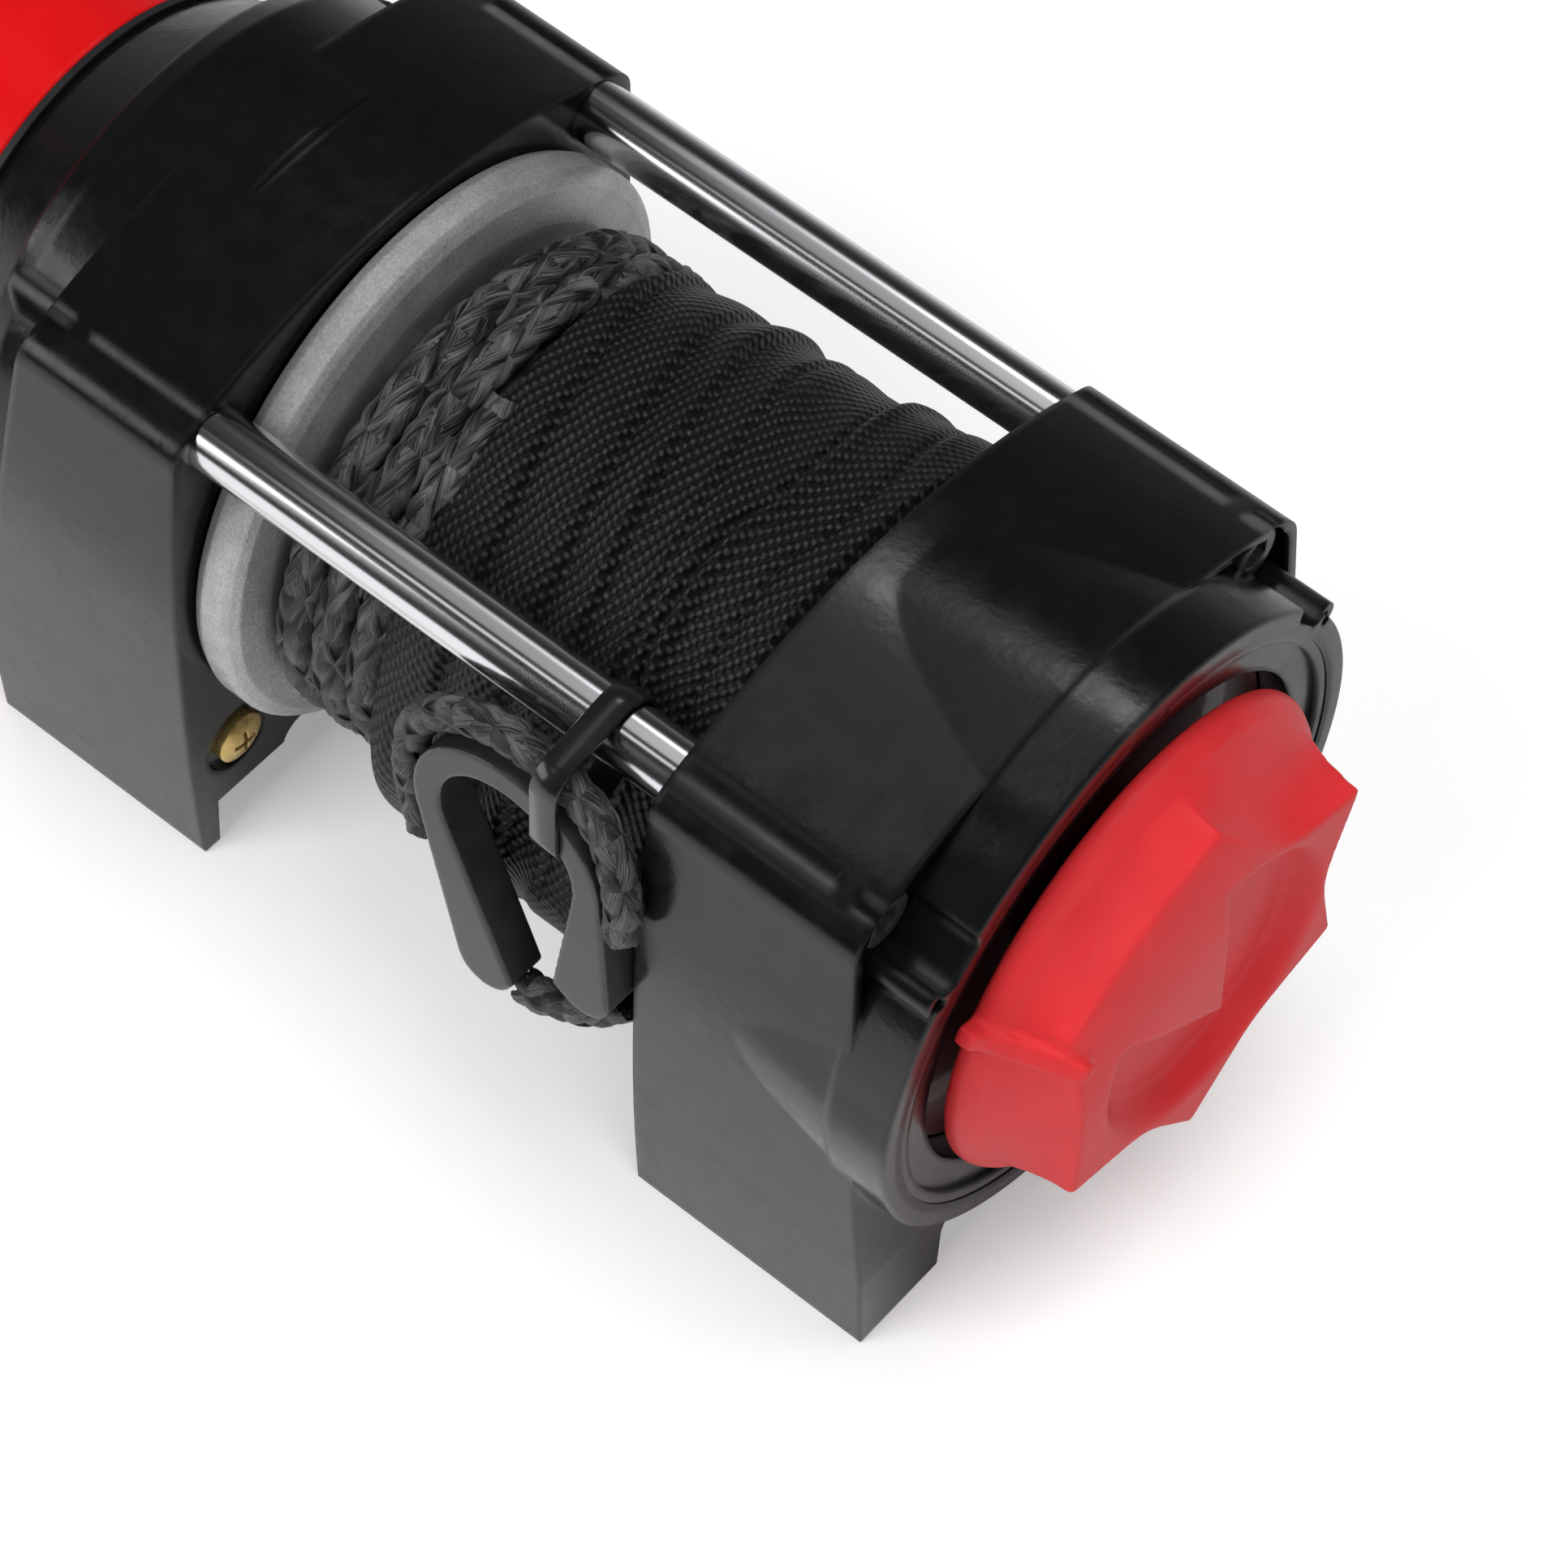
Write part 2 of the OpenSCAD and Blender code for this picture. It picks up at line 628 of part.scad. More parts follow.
// Least gap between neighbouring turns, measured on the rings
function turn_gap(rings) = min([for (i = [0 : len(rings) - 1 - loop_rings])
    min([for (p = rings[i]) for (q = rings[i + loop_rings]) norm(p - q)])]);
echo(bare_turn_gap = turn_gap(bare_rings), sleeve_turn_gap = turn_gap(sleeve_rings));

module rope_bare_turns() {
    color([0.22, 0.22, 0.23]) skin(bare_rings);
}

module rope_sleeve_turns() {
    color([0.06, 0.06, 0.065]) skin(sleeve_rings);
}

// Thimble in front of the front rod, its eye open along Y
eye_y = -50.6;
eye_c = [22, 75];
leg_a = [18.5, 42];
leg_b = [36.2, 53];
leg_r = 5;
mouth_c = [28, 34];
mouth_r = 1;

module thimble_outline(inset) {
    hull() {
        translate(eye_c) circle(crown_r - inset, $fn = 32);
        translate(leg_a) circle(leg_r - inset / 3, $fn = 24);
    }
    hull() {
        translate(eye_c) circle(crown_r - inset, $fn = 32);
        translate(leg_b) circle(leg_r - inset / 3, $fn = 24);
    }
}

module thimble() {
    color([0.10, 0.10, 0.105]) along_y(eye_y - thimble_d / 2, eye_y + thimble_d / 2) difference() {
        thimble_outline(0);
        hull() {
            translate(eye_c) circle(crown_r - band_t, $fn = 32);
            translate(mouth_c) circle(mouth_r, $fn = 24);
        }
    }
}

// Rope round the thimble's crown and the spliced tail; points chosen along the route
eye_points = [
    [4.6, -50.6, 60], [3.0, -50.6, 66], [2.0, -50.6, 72], [2.0, -50.6, 78], [3.6, -50.6, 84], [7.0, -50.6, 89],
    [11.6, -50.6, 92.8], [17, -50.6, 95], [23, -50.6, 95.6], [29, -50.6, 94.4], [34.2, -50.6, 91.6],
    [38.4, -51.2, 87.4], [40.8, -52.2, 83], [42, -52.6, 78], [42, -52.6, 72]
];
tail_points = [
    [23.5, -50.6, 38], [26, -50.6, 38.2], [29, -50.4, 39.4], [33, -49.8, 41], [36.5, -48.6, 43], [39.4, -47.4, 46]
];

pull = 0.1;
eye_rope_r = rope_r - pull;
cord_sides = 8;
function unit(v) = v / norm(v);
function tube_rings(pts, r, n) = [for (i = [0 : len(pts) - 1])
    let (d = unit(pts[min(i + 1, len(pts) - 1)] - pts[max(i - 1, 0)]),
         u = unit(cross(d, [0, 1, 0])), v = cross(d, u))
    [for (k = [0 : n - 1]) pts[i] + r * (cos(360 * k / n) * u + sin(360 * k / n) * v)]];

module rope_eye() {
    color([0.22, 0.22, 0.23]) skin(tube_rings(eye_points, eye_rope_r, cord_sides));
}

module rope_tail() {
    color([0.22, 0.22, 0.23]) skin(tube_rings(tail_points, eye_rope_r, cord_sides));
}

// Strap round the front rod, the rope and the thimble's crown
strap_x = 29.5;
strap_top_z = 95.4;
strap_low_z = 82.8;
module strap_outline(grow) {
    hull() {
        translate([-rod_y, rod_z]) circle(rod_r + fit + grow, $fn = 32);
        translate([eye_y - fit, strap_top_z]) circle(thimble_d / 2 + fit + grow, $fn = 24);
        translate([eye_y, strap_low_z]) circle(thimble_d / 2 + fit + grow, $fn = 24);
    }
}

module retaining_strap() {
    color([0.07, 0.07, 0.075]) along_x(strap_x - strap_w / 2, strap_x + strap_w / 2) difference() {
        strap_outline(strap_t);
        strap_outline(0);
    }
}

// Gear teeth as involutes: half the tooth angle at radius r
function involute(a) = tan(a) * 180 / PI - a;
function half_tooth(r, rp, rb, z, thin) =
    90 / z - thin / rp * 90 / PI + involute(press_a) - involute(acos(min(1, rb / r)));

function gear_points(z, add, ded, thin) =
    let (rp = z * tooth_m / 2, rb = rp * cos(press_a), ra = rp + add, rf = rp - ded, r0 = max(rb, rf),
         side = [for (k = [0 : 2]) let (r = r0 + (ra - r0) * k / 2) [r, half_tooth(r, rp, rb, z, thin)]])
    [for (i = [0 : z - 1]) each concat(
        [[rf, i * 360 / z - side[0][1]]],
        [for (s = side) [s[0], i * 360 / z - s[1]]],
        [for (k = [2 : -1 : 0]) [side[k][0], i * 360 / z + side[k][1]]],
        [[rf, i * 360 / z + side[0][1]]])];

module gear_shape(z, add, ded, thin) {
    polygon([for (p = gear_points(z, add, ded, thin)) p[0] * [cos(p[1]), sin(p[1])]]);
}

addendum = 0.8 * tooth_m;
ring_wall = 3.3;
dedendum = 1.15 * tooth_m;
ring_teeth = sun_teeth + 2 * planet_teeth;
ring_root_r = ring_teeth * tooth_m / 2 + dedendum;
ring_out_r = ring_root_r + ring_wall;
centre_r = (sun_teeth + planet_teeth) * tooth_m / 2;
sun_bore_r = 4.4;
stage_gap = 0.3;

// Planet stages, counted from the motor's input at the cover end
planet_x = [
    cover_x - stage_gap - planet_w[0],
    cover_x - 4 * stage_gap - planet_w[0] - plate_w[0] - planet_w[1] + stage_gap,
    cover_x - 7 * stage_gap - planet_w[0] - plate_w[0] - planet_w[1] - plate_w[1] - planet_w[2] + 2 * stage_gap
];

module gear_x(x, w, z) {
    translate([x, 0, axis_z]) rotate([90, 0, 90]) linear_extrude(w) gear_shape(z, addendum, dedendum, tooth_play);
}

module ring_gear() {
    color([0.45, 0.45, 0.47]) difference() {
        disc_x(planet_x[2] - stage_gap, cover_x - seat, ring_out_r - seat);
        translate([planet_x[2] - stage_gap - cut, 0, axis_z]) rotate([90, 0, 90])
            linear_extrude(cover_x - planet_x[2] + 2 * cut) rotate(180 / ring_teeth)
                gear_shape(ring_teeth, dedendum, addendum, -tooth_play);
    }
}

module planet(stage, k) {
    color([0.55, 0.55, 0.57]) translate([planet_x[stage], 0, axis_z]) rotate([120 * k, 0, 0])
        translate([0, centre_r, 0]) rotate([90, 0, 90]) linear_extrude(planet_w[stage]) difference() {
            rotate(180 / planet_teeth) gear_shape(planet_teeth, addendum, dedendum, tooth_play);
            circle(pin_r + pin_gap, $fn = hole_fn);
        }
}

pin_gap = 0.15;
plate_rim = 1.6;
plate_r = centre_r + pin_r + plate_rim;

// Carrier: plate and three pins, with the next stage's hollow sun on its other side
module carrier(stage, hub_x, hub_w) {
    x = planet_x[stage] - stage_gap;
    difference() {
        union() {
            disc_x(x - plate_w[stage], x, plate_r);
            for (k = [0 : 2]) translate([0, 0, axis_z]) rotate([120 * k, 0, 0])
                translate([x - seat, centre_r, 0]) rotate([0, 90, 0])
                    cylinder(h = planet_w[stage] + stage_gap / 2 + seat, r = pin_r, $fn = hole_fn);
            if (stage < 2) gear_x(hub_x, hub_w, sun_teeth);
            else disc_x(hub_x, hub_x + hub_w, bore_r - fit);
        }
        disc_x(hub_x - cut, x + cut, sun_bore_r);
    }
}

module carrier_1() {
    x = planet_x[0] - stage_gap - plate_w[0];
    color([0.50, 0.50, 0.52]) carrier(0, planet_x[1], x - planet_x[1] + cut / 2);
}

module carrier_2() {
    x = planet_x[1] - stage_gap - plate_w[1];
    color([0.50, 0.50, 0.52]) carrier(1, planet_x[2], x - planet_x[2] + cut / 2);
}

output_l = 7;
module carrier_3() {
    x = planet_x[2] - stage_gap - plate_w[2];
    color([0.50, 0.50, 0.52]) carrier(2, x - output_l, output_l + cut / 2);
}

module planet_1a() { planet(0, 0); }
module planet_1b() { planet(0, 1); }
module planet_1c() { planet(0, 2); }
module planet_2a() { planet(1, 0); }
module planet_2b() { planet(1, 1); }
module planet_2c() { planet(1, 2); }
module planet_3a() { planet(2, 0); }
module planet_3b() { planet(2, 1); }
module planet_3c() { planet(2, 2); }

// Input side: drive shaft through the drum, first sun, brake and coupler
shaft_tail = 12;
shaft_x0 = -ms_web_x - ms_web - shaft_tail;
coupler_l = 20;
coupler_r = 9;
brake_x = -10;
brake_l = 30;
brake_r = 7;
shoe_t = 6.6;
shoe_in = 2;

module hex_x(x0, x1, r) {
    translate([x0, 0, axis_z]) rotate([0, 90, 0]) cylinder(h = x1 - x0, r = r, $fn = 6);
}

module drive_shaft() {
    color([0.68, 0.68, 0.70]) hex_x(shaft_x0, cover_x - stage_gap, shaft_r);
}

module sun_gear() {
    color([0.55, 0.55, 0.57]) difference() {
        gear_x(planet_x[0], planet_w[0], sun_teeth);
        hex_x(planet_x[0] - cut, cover_x + cut, shaft_r + seat);
    }
}

module brake_hub() {
    color([0.48, 0.48, 0.50]) difference() {
        disc_x(brake_x, brake_x + brake_l, brake_r);
        hex_x(brake_x - cut, brake_x + brake_l + cut, shaft_r + seat);
    }
}

module brake_shoes() {
    color([0.35, 0.27, 0.20]) difference() {
        disc_x(brake_x + shoe_in, brake_x + brake_l - shoe_in, brake_r + shoe_t);
        disc_x(brake_x, brake_x + brake_l, brake_r + seat);
        translate([brake_x, -2 * brake_r, axis_z - shoe_in / 2]) cube([brake_l, 4 * brake_r, shoe_in]);
    }
}

module motor_coupler() {
    color([0.60, 0.60, 0.62]) difference() {
        disc_x(shaft_x0 - coupler_l / 2, shaft_x0 + coupler_l / 2, coupler_r);
        hex_x(shaft_x0 - seat, shaft_x0 + coupler_l, shaft_r + seat);
        disc_x(shaft_x0 - coupler_l, shaft_x0, motor_shaft_r + seat);
    }
}

// End cover with its knob boss, retaining ring and the disc behind the knob
boss_r = 18;
stem_r = 12;
stem_gap = 0.1;
cover_floor = 1.8;
cover_face = case_x - cover_sink;
cover_lip = 3;
clip_step = 1;
clip_r = cover_r + clip_step;
clip_in = 1.6;
clip_mouth = 8;
boss_sink = 1;
clip_w = 1;
disc_t = 1.4;

module gearbox_end_cover() {
    color([0.06, 0.06, 0.065]) difference() {
        union() {
            disc_x(cover_x, cover_face - cover_seat, disc_r + cover_lip - seat);
            disc_x(cover_face - cover_seat, cover_face - seat, cover_r);
        }
        difference() {
            disc_x(cover_x + cover_floor, case_x + cut, disc_r);
            disc_x(cover_x, case_x - boss_sink, boss_r);
        }
        disc_x(case_x - boss_sink, case_x + cut, disc_r);
        disc_x(cover_x + cover_floor, case_x, stem_r + stem_gap);
        disc_x(cover_x - cut, case_x, plunger_r + seat);
    }
}

module cover_retaining_ring() {
    color([0.10, 0.10, 0.105]) difference() {
        ring_x(cover_face, cover_face + clip_w, clip_r, cover_r - clip_in);
        translate([cover_face - cut, -clip_mouth / 2, axis_z]) cube([clip_w + 2 * cut, clip_mouth, 2 * clip_r]);
    }
}

module indicator_disc() {
    color([0.35, 0.03, 0.04]) ring_x(cover_x + cover_floor + seat, cover_x + cover_floor + disc_t, disc_r - fit, boss_r + seat);
}

// Clutch knob: round rim, sloping band and a grip with lobes, its stem in the cover's boss
plunger_r = 4;
knob_top = case_x + knob_h;
band_x = case_x + 0.42 * knob_h;
dish_x = knob_top - dish_depth;
dish_r = valley_r - dish_depth;
half_lobe = 180 / knob_lobes;
tip_in = 0.3;
ridge_r = (tip_r - tip_in) * cos(half_lobe);
scoop_lean = 43;
side_lean = atan((band_r - 2 * tip_in - ridge_r) / (knob_top - band_x));
spindle_l = 6;
stem_clear = 2;
rim_in = 1.4;
pointer_a = 156;
pointer_w = 3.6;
pointer_l = 3.4;

// The two straight sides of the grip lie left of the lobe at 90 degrees; the rest are finger scoops
straight_sides = [2, 3];
ramp_a = 120;
ramp_back = 9;
ramp_drop = 3.1;
ramp_end = ridge_r - dish_depth / 2;

module round_side(k) {
    rotate([360 * k / knob_lobes, 0, 0])
        translate([knob_top + scoop_r * sin(scoop_lean), valley_r + scoop_r * cos(scoop_lean), 0])
            rotate([0, 0, 180 - scoop_lean]) rotate([0, 90, 0]) cylinder(h = 2 * knob_r, r = scoop_r, center = true);
}

module straight_side(k) {
    rotate([360 * k / knob_lobes, 0, 0]) translate([knob_top, ridge_r, 0]) rotate([0, 0, 180 - side_lean])
        translate([-knob_r, -knob_r, -knob_r]) cube([2 * knob_r, knob_r, 2 * knob_r]);
}

// Thumb ramp that falls from the straight side at ramp_a past the middle of the dish
module thumb_ramp() {
    end_half = tip_r * sin(half_lobe) * (ramp_end + ramp_back) / (ridge_r + ramp_back);
    rotate([ramp_a, 0, 0]) intersection() {
        translate([dish_x - cut, 0, 0]) rotate([90, 0, 90]) linear_extrude(dish_depth + cut)
            polygon([[-ramp_back, 0], [ramp_end, -end_half], [ramp_end, end_half]]);
        translate([0, 0, -ridge_r]) linear_extrude(2 * ridge_r) polygon([
            [dish_x - 2 * cut, -2 * ramp_back], [knob_top - ramp_drop, -2 * ramp_back], [knob_top - seat, ramp_end + cut],
            [dish_x - 2 * cut, ramp_end + cut]
        ]);
    }
}

module clutch_knob() {
    color([0.80, 0.16, 0.19]) difference() {
        union() {
            difference() {
                turned([
                    [case_x, 0], [case_x, knob_r - seat], [case_x + knob_rim / 3, knob_r], [case_x + knob_rim, knob_r],
                    [band_x, band_r], [knob_top, tip_r], [knob_top, dish_r + dish_depth / 2], [dish_x, dish_r - dish_depth],
                    [dish_x, 0]
                ]);
                translate([0, 0, axis_z]) for (k = [0 : knob_lobes - 1])
                    if (k == straight_sides[0] || k == straight_sides[1]) straight_side(k);
                    else round_side(k);
            }
            translate([0, 0, axis_z]) thumb_ramp();
            disc_x(cover_x + cover_floor + fit, case_x + cut, stem_r);
            // Pointer at the rim
            translate([0, 0, axis_z]) rotate([pointer_a, 0, 0])
                translate([case_x, 0, -pointer_w / 2]) cube([knob_rim + rim_in, knob_r + pointer_l, pointer_w]);
        }
        // Hollow under the rim, outside the stem
        difference() {
            disc_x(case_x - cut, case_x + knob_rim - rim_in, knob_r - stem_clear);
            disc_x(case_x - 2 * cut, case_x + knob_rim, stem_r + stem_clear);
        }
        disc_x(cover_x, case_x + spindle_l, plunger_r + seat + fit);
    }
}

module clutch_plunger() {
    color([0.66, 0.66, 0.68]) disc_x(cover_x + plunger_travel, case_x + spindle_l - fit, plunger_r);
}

// Motor: can, end cap, magnets, armature and brushes
can_x = joint_x + seal_w;
can_end = can_x + can_l;
cap_end = can_end + cap_l;
through_in = 2.6;
through_y = can_r - can_t - through_in;
through_r = 1.9;
through_bite = 9;
seal_proud = 0.4;
can_edge = 0.8;
cap_spigot = 3;
head_t = 3;
magnet_t = 4.6;
core_iron_r = can_r - can_t - magnet_t - air_gap;

module mirrored_turned(points) {
    mirror([1, 0, 0]) turned(points);
}

module motor_seal() {
    color([0.08, 0.08, 0.08]) ring_x(-can_x, -joint_x, can_r + seal_proud, can_r - can_t + seat);
}

module motor_can() {
    color([0.78, 0.08, 0.08]) difference() {
        mirrored_turned([
            [can_x, can_r - can_t], [can_x, can_r - can_edge], [can_x + can_edge, can_r], [can_end, can_r],
            [can_end, can_r - can_t]
        ]);
        for (s = [-1, 1]) translate([-stud_x, s * stud_y, axis_z])
            cylinder(h = 2 * can_r, r = stud_r + pad_wall + fit / 3, $fn = hole_fn);
    }
}

module motor_end_cap() {
    color([0.70, 0.07, 0.07]) difference() {
        mirrored_turned([
            [can_end - cap_spigot, 0], [can_end - cap_spigot, can_r - can_t - seat], [can_end, can_r - can_t - seat],
            [can_end, can_r], [can_end + 0.45 * cap_l, can_r - 0.01 * can_r], [can_end + 0.8 * cap_l, can_r - 0.25 * cap_l],
            [cap_end, can_r - 0.66 * cap_l],
            [cap_end, 0]
        ]);
        disc_x(-can_end - 0.5 * cap_l, -can_end + cap_spigot + cut, bearing_r);
        for (s = [-1, 1]) translate([0, s * through_y, axis_z]) {
            translate([-cap_end, 0, 0]) rotate([0, 90, 0]) cylinder(h = 2 * cap_l, r = through_r + seat, $fn = hole_fn);
            translate([-cap_end - cut, 0, 0]) rotate([0, 90, 0])
                cylinder(h = 0.5 * cap_l + cut, r = 2 * through_r, $fn = hole_fn);
        }
    }
}

module motor_through_bolts() {
    color([0.66, 0.66, 0.66]) for (s = [-1, 1]) translate([0, s * through_y, axis_z]) {
        translate([-cap_end + 0.5 * cap_l, 0, 0]) rotate([0, 90, 0])
            cylinder(h = cap_end - 0.5 * cap_l - joint_x + through_bite, r = through_r, $fn = hole_fn);
        translate([-cap_end + 0.5 * cap_l - head_t, 0, 0]) rotate([0, 90, 0])
            cylinder(h = head_t, r = 2 * through_r - fit, $fn = 6);
    }
}

bearing_r = 11;
bearing_w = 6;

module motor_rear_bearing() {
    color([0.6, 0.6, 0.62]) ring_x(-can_end - 0.5 * cap_l + seat, -can_end - 0.5 * cap_l + bearing_w,
        bearing_r - seat, motor_shaft_r + seat);
}

// Front bearing in its carrier plate, which fills the housing's spigot
module motor_front_bearing() {
    color([0.6, 0.6, 0.62]) difference() {
        ring_x(-joint_x, -joint_x + motor_spigot - seat, can_r - can_t, motor_shaft_r + seat);
        for (s = [-1, 1]) translate([-joint_x - cut, s * through_y, axis_z]) rotate([0, 90, 0])
            cylinder(h = motor_spigot + 2 * cut, r = through_r + seat, $fn = hole_fn);
    }
}

magnet_lead_share = 0.131;
magnet_share = 0.574;
magnet_x0 = can_x + magnet_lead_share * can_l;
magnet_l = magnet_share * can_l;
magnet_slot = 8;

module field_magnets() {
    color([0.30, 0.30, 0.32]) difference() {
        ring_x(-magnet_x0 - magnet_l, -magnet_x0, can_r - can_t - seat, can_r - can_t - magnet_t);
        for (a = [0, 90]) translate([-magnet_x0 - magnet_l - cut, 0, axis_z]) rotate([a, 0, 0])
            translate([0, -2 * can_r, -magnet_slot / 2]) cube([magnet_l + 2 * cut, 4 * can_r, magnet_slot]);
    }
}

slots = 12;
slot_w = 3;
slot_depth = 8;
magnet_over = 4;
core_x0 = magnet_x0 + magnet_over;
core_l = magnet_l - 2 * magnet_over;
coil_l = 8;
coil_in_r = 9;
coil_edge = 4;
coil_crown = 1.5;

module armature_core() {
    color([0.38, 0.38, 0.40]) difference() {
        ring_x(-core_x0 - core_l, -core_x0, core_iron_r, motor_shaft_r + seat);
        for (k = [0 : slots - 1]) translate([-core_x0 - core_l - cut, 0, axis_z]) rotate([360 * k / slots, 0, 0])
            translate([0, -slot_w / 2, core_iron_r - slot_depth]) cube([core_l + 2 * cut, slot_w, slot_depth + cut]);
    }
}

module coil_end(x0, x1) {
    turned([
        [x0, coil_in_r], [x0, core_iron_r - coil_edge], [x0 + (x1 - x0) * 0.3, core_iron_r - coil_crown],
        [x0 + (x1 - x0) * 0.7, core_iron_r - coil_crown], [x1, core_iron_r - coil_edge], [x1, coil_in_r]
    ]);
}

module armature_windings() {
    color([0.72, 0.42, 0.20]) {
        coil_end(-core_x0 + seat, -core_x0 + coil_l);
        coil_end(-core_x0 - core_l - coil_l, -core_x0 - core_l - seat);
    }
}

comm_share = 0.368;
comm_r = comm_share * can_r;
comm_l_share = 0.131;
comm_l = comm_l_share * can_l;
comm_gap = 2;
bar_gap = 0.6;
bar_depth = 1;
comm_x = core_x0 + core_l + coil_l + comm_gap;

module commutator() {
    color([0.76, 0.48, 0.25]) difference() {
        ring_x(-comm_x - comm_l, -comm_x, comm_r, motor_shaft_r + seat);
        for (k = [0 : 2 * slots - 1]) translate([-comm_x - comm_l - cut, 0, axis_z]) rotate([180 * k / slots, 0, 0])
            translate([0, -bar_gap / 2, comm_r - bar_depth]) cube([comm_l + 2 * cut, bar_gap, bar_depth + cut]);
    }
}

module motor_shaft() {
    color([0.70, 0.70, 0.72]) disc_x(-can_end - 0.5 * cap_l + seat, shaft_x0 - seat, motor_shaft_r);
}

holder_t = 2;
brush_w = 6;
brush_l = 10;
box_gap = 3;
box_wall = 2;
holder_back = 4;
holder_x = -comm_x - comm_l - holder_back;

module brush_holder() {
    color([0.55, 0.45, 0.30]) {
        difference() {
            ring_x(holder_x, holder_x + holder_t, can_r - can_t - fit, comm_r + box_gap);
            for (s = [-1, 1]) translate([holder_x - cut, s * through_y, axis_z]) rotate([0, 90, 0])
                cylinder(h = holder_t + 2 * cut, r = through_r + fit, $fn = hole_fn);
        }
        for (k = [0 : 3]) translate([0, 0, axis_z]) rotate([45 + 90 * k, 0, 0]) difference() {
            translate([holder_x + holder_t, comm_r + box_gap, -brush_w])
                cube([comm_l - 2 * box_wall, brush_l + box_wall, 2 * brush_w]);
            translate([holder_x + holder_t + box_wall, comm_r, -brush_w / 2 - seat])
                cube([comm_l, brush_l + 4 * box_wall, brush_w + 2 * seat]);
        }
    }
}

module brushes() {
    x = holder_x + holder_t;
    color([0.20, 0.20, 0.22]) for (k = [0 : 3]) translate([0, 0, axis_z]) rotate([45 + 90 * k, 0, 0]) difference() {
        translate([x + box_wall + seat, comm_r - cut, -brush_w / 2])
            cube([comm_l - 3.5 * box_wall, brush_l + box_wall, brush_w]);
        translate([x, 0, 0]) rotate([0, 90, 0]) cylinder(h = 2 * comm_l, r = comm_r + 2 * seat);
    }
}

// Terminals on top of the can by the end cap
stud_in = 18;
stud_x = can_end - stud_in;
stud_y = 13;
pad_w = 15;
pad_t = 1.5;
pad_wall = 1.9;
pad_z = axis_z + can_r + pad_t;
terminal_nut_r = 7.5;
terminal_nut_h = 6;

// A stud is a little thicker where its nut and insulator hold it
hold_step = 0.3;
hold_r = stud_r + hold_step;
hold_over = 1;
stud_root = 10;

module terminal_insulators() {
    color([0.09, 0.09, 0.09]) for (s = [-1, 1]) translate([-stud_x, s * stud_y, 0]) difference() {
        union() {
            difference() {
                translate([-pad_w / 2, -pad_w / 2 + pad_t / 2, axis_z]) cube([pad_w, pad_w - pad_t, can_r + pad_t]);
                translate([-pad_w, -s * stud_y, axis_z]) rotate([0, 90, 0]) cylinder(h = 2 * pad_w, r = can_r + seat);
            }
            translate([0, 0, pad_z - stud_root + cut]) cylinder(h = stud_root - 2 * cut, r = stud_r + pad_wall, $fn = hole_fn);
        }
        translate([0, 0, axis_z]) cylinder(h = can_r + pad_w, r = hold_r + seat, $fn = hole_fn);
    }
}

module terminal_studs() {
    color([0.78, 0.55, 0.30]) for (s = [-1, 1]) translate([-stud_x, s * stud_y, pad_z]) {
        translate([0, 0, -stud_root]) cylinder(h = stud_root + terminal_nut_h + hold_over, r = hold_r, $fn = hole_fn);
        cylinder(h = stud_l, r = stud_r, $fn = hole_fn);
    }
}

module terminal_nuts() {
    color([0.75, 0.75, 0.75]) for (s = [-1, 1]) translate([-stud_x, s * stud_y, pad_z + seat]) difference() {
        cylinder(h = terminal_nut_h, r = terminal_nut_r, $fn = 6);
        translate([0, 0, -cut]) cylinder(h = terminal_nut_h + 2 * cut, r = hold_r + seat, $fn = hole_fn);
    }
}

motor_side_housing();
gearbox_housing();
tie_rods();
tie_rod_bolts();
foot_nuts();
ground_screw();
drum();
drum_bushing_motor_side();
drum_bushing_gear_side();
rope_pack();
rope_bare_turns();
rope_sleeve_turns();
rope_clamp_screw();
rope_eye();
rope_tail();
thimble();
retaining_strap();
drive_shaft();
sun_gear();
brake_hub();
brake_shoes();
motor_coupler();
ring_gear();
carrier_1();
carrier_2();
carrier_3();
planet_1a();
planet_1b();
planet_1c();
planet_2a();
planet_2b();
planet_2c();
planet_3a();
planet_3b();
planet_3c();
gearbox_end_cover();
cover_retaining_ring();
indicator_disc();
clutch_knob();
clutch_plunger();
motor_seal();
motor_can();
motor_end_cap();
motor_through_bolts();
motor_front_bearing();
motor_rear_bearing();
field_magnets();
armature_core();
armature_windings();
commutator();
motor_shaft();
brush_holder();
brushes();
terminal_insulators();
terminal_studs();
terminal_nuts();
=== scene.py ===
"""Looks of the electric recovery winch: cast housings, rope and sleeve on the drum, clutch knob, red motor."""

import math

import bmesh
import bpy
import numpy as np
from mathutils import Matrix, Vector


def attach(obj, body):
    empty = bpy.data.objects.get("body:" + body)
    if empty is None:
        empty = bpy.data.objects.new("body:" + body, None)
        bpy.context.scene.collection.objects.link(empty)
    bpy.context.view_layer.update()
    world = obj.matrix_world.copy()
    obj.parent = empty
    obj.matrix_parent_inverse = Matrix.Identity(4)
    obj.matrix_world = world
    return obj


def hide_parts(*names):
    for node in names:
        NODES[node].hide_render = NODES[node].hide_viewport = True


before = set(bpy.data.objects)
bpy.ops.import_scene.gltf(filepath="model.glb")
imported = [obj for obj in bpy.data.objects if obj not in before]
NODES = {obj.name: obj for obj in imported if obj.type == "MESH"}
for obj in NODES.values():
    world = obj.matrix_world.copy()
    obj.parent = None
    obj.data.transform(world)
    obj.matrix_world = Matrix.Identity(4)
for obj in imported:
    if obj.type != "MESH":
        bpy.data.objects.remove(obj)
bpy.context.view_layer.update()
MM = 0.001
AXIS_Z = 61.5
TAU = 2 * math.pi


# ---------------------------------------------------------------- meshes

MERGE_WITHIN = 0.002 * MM


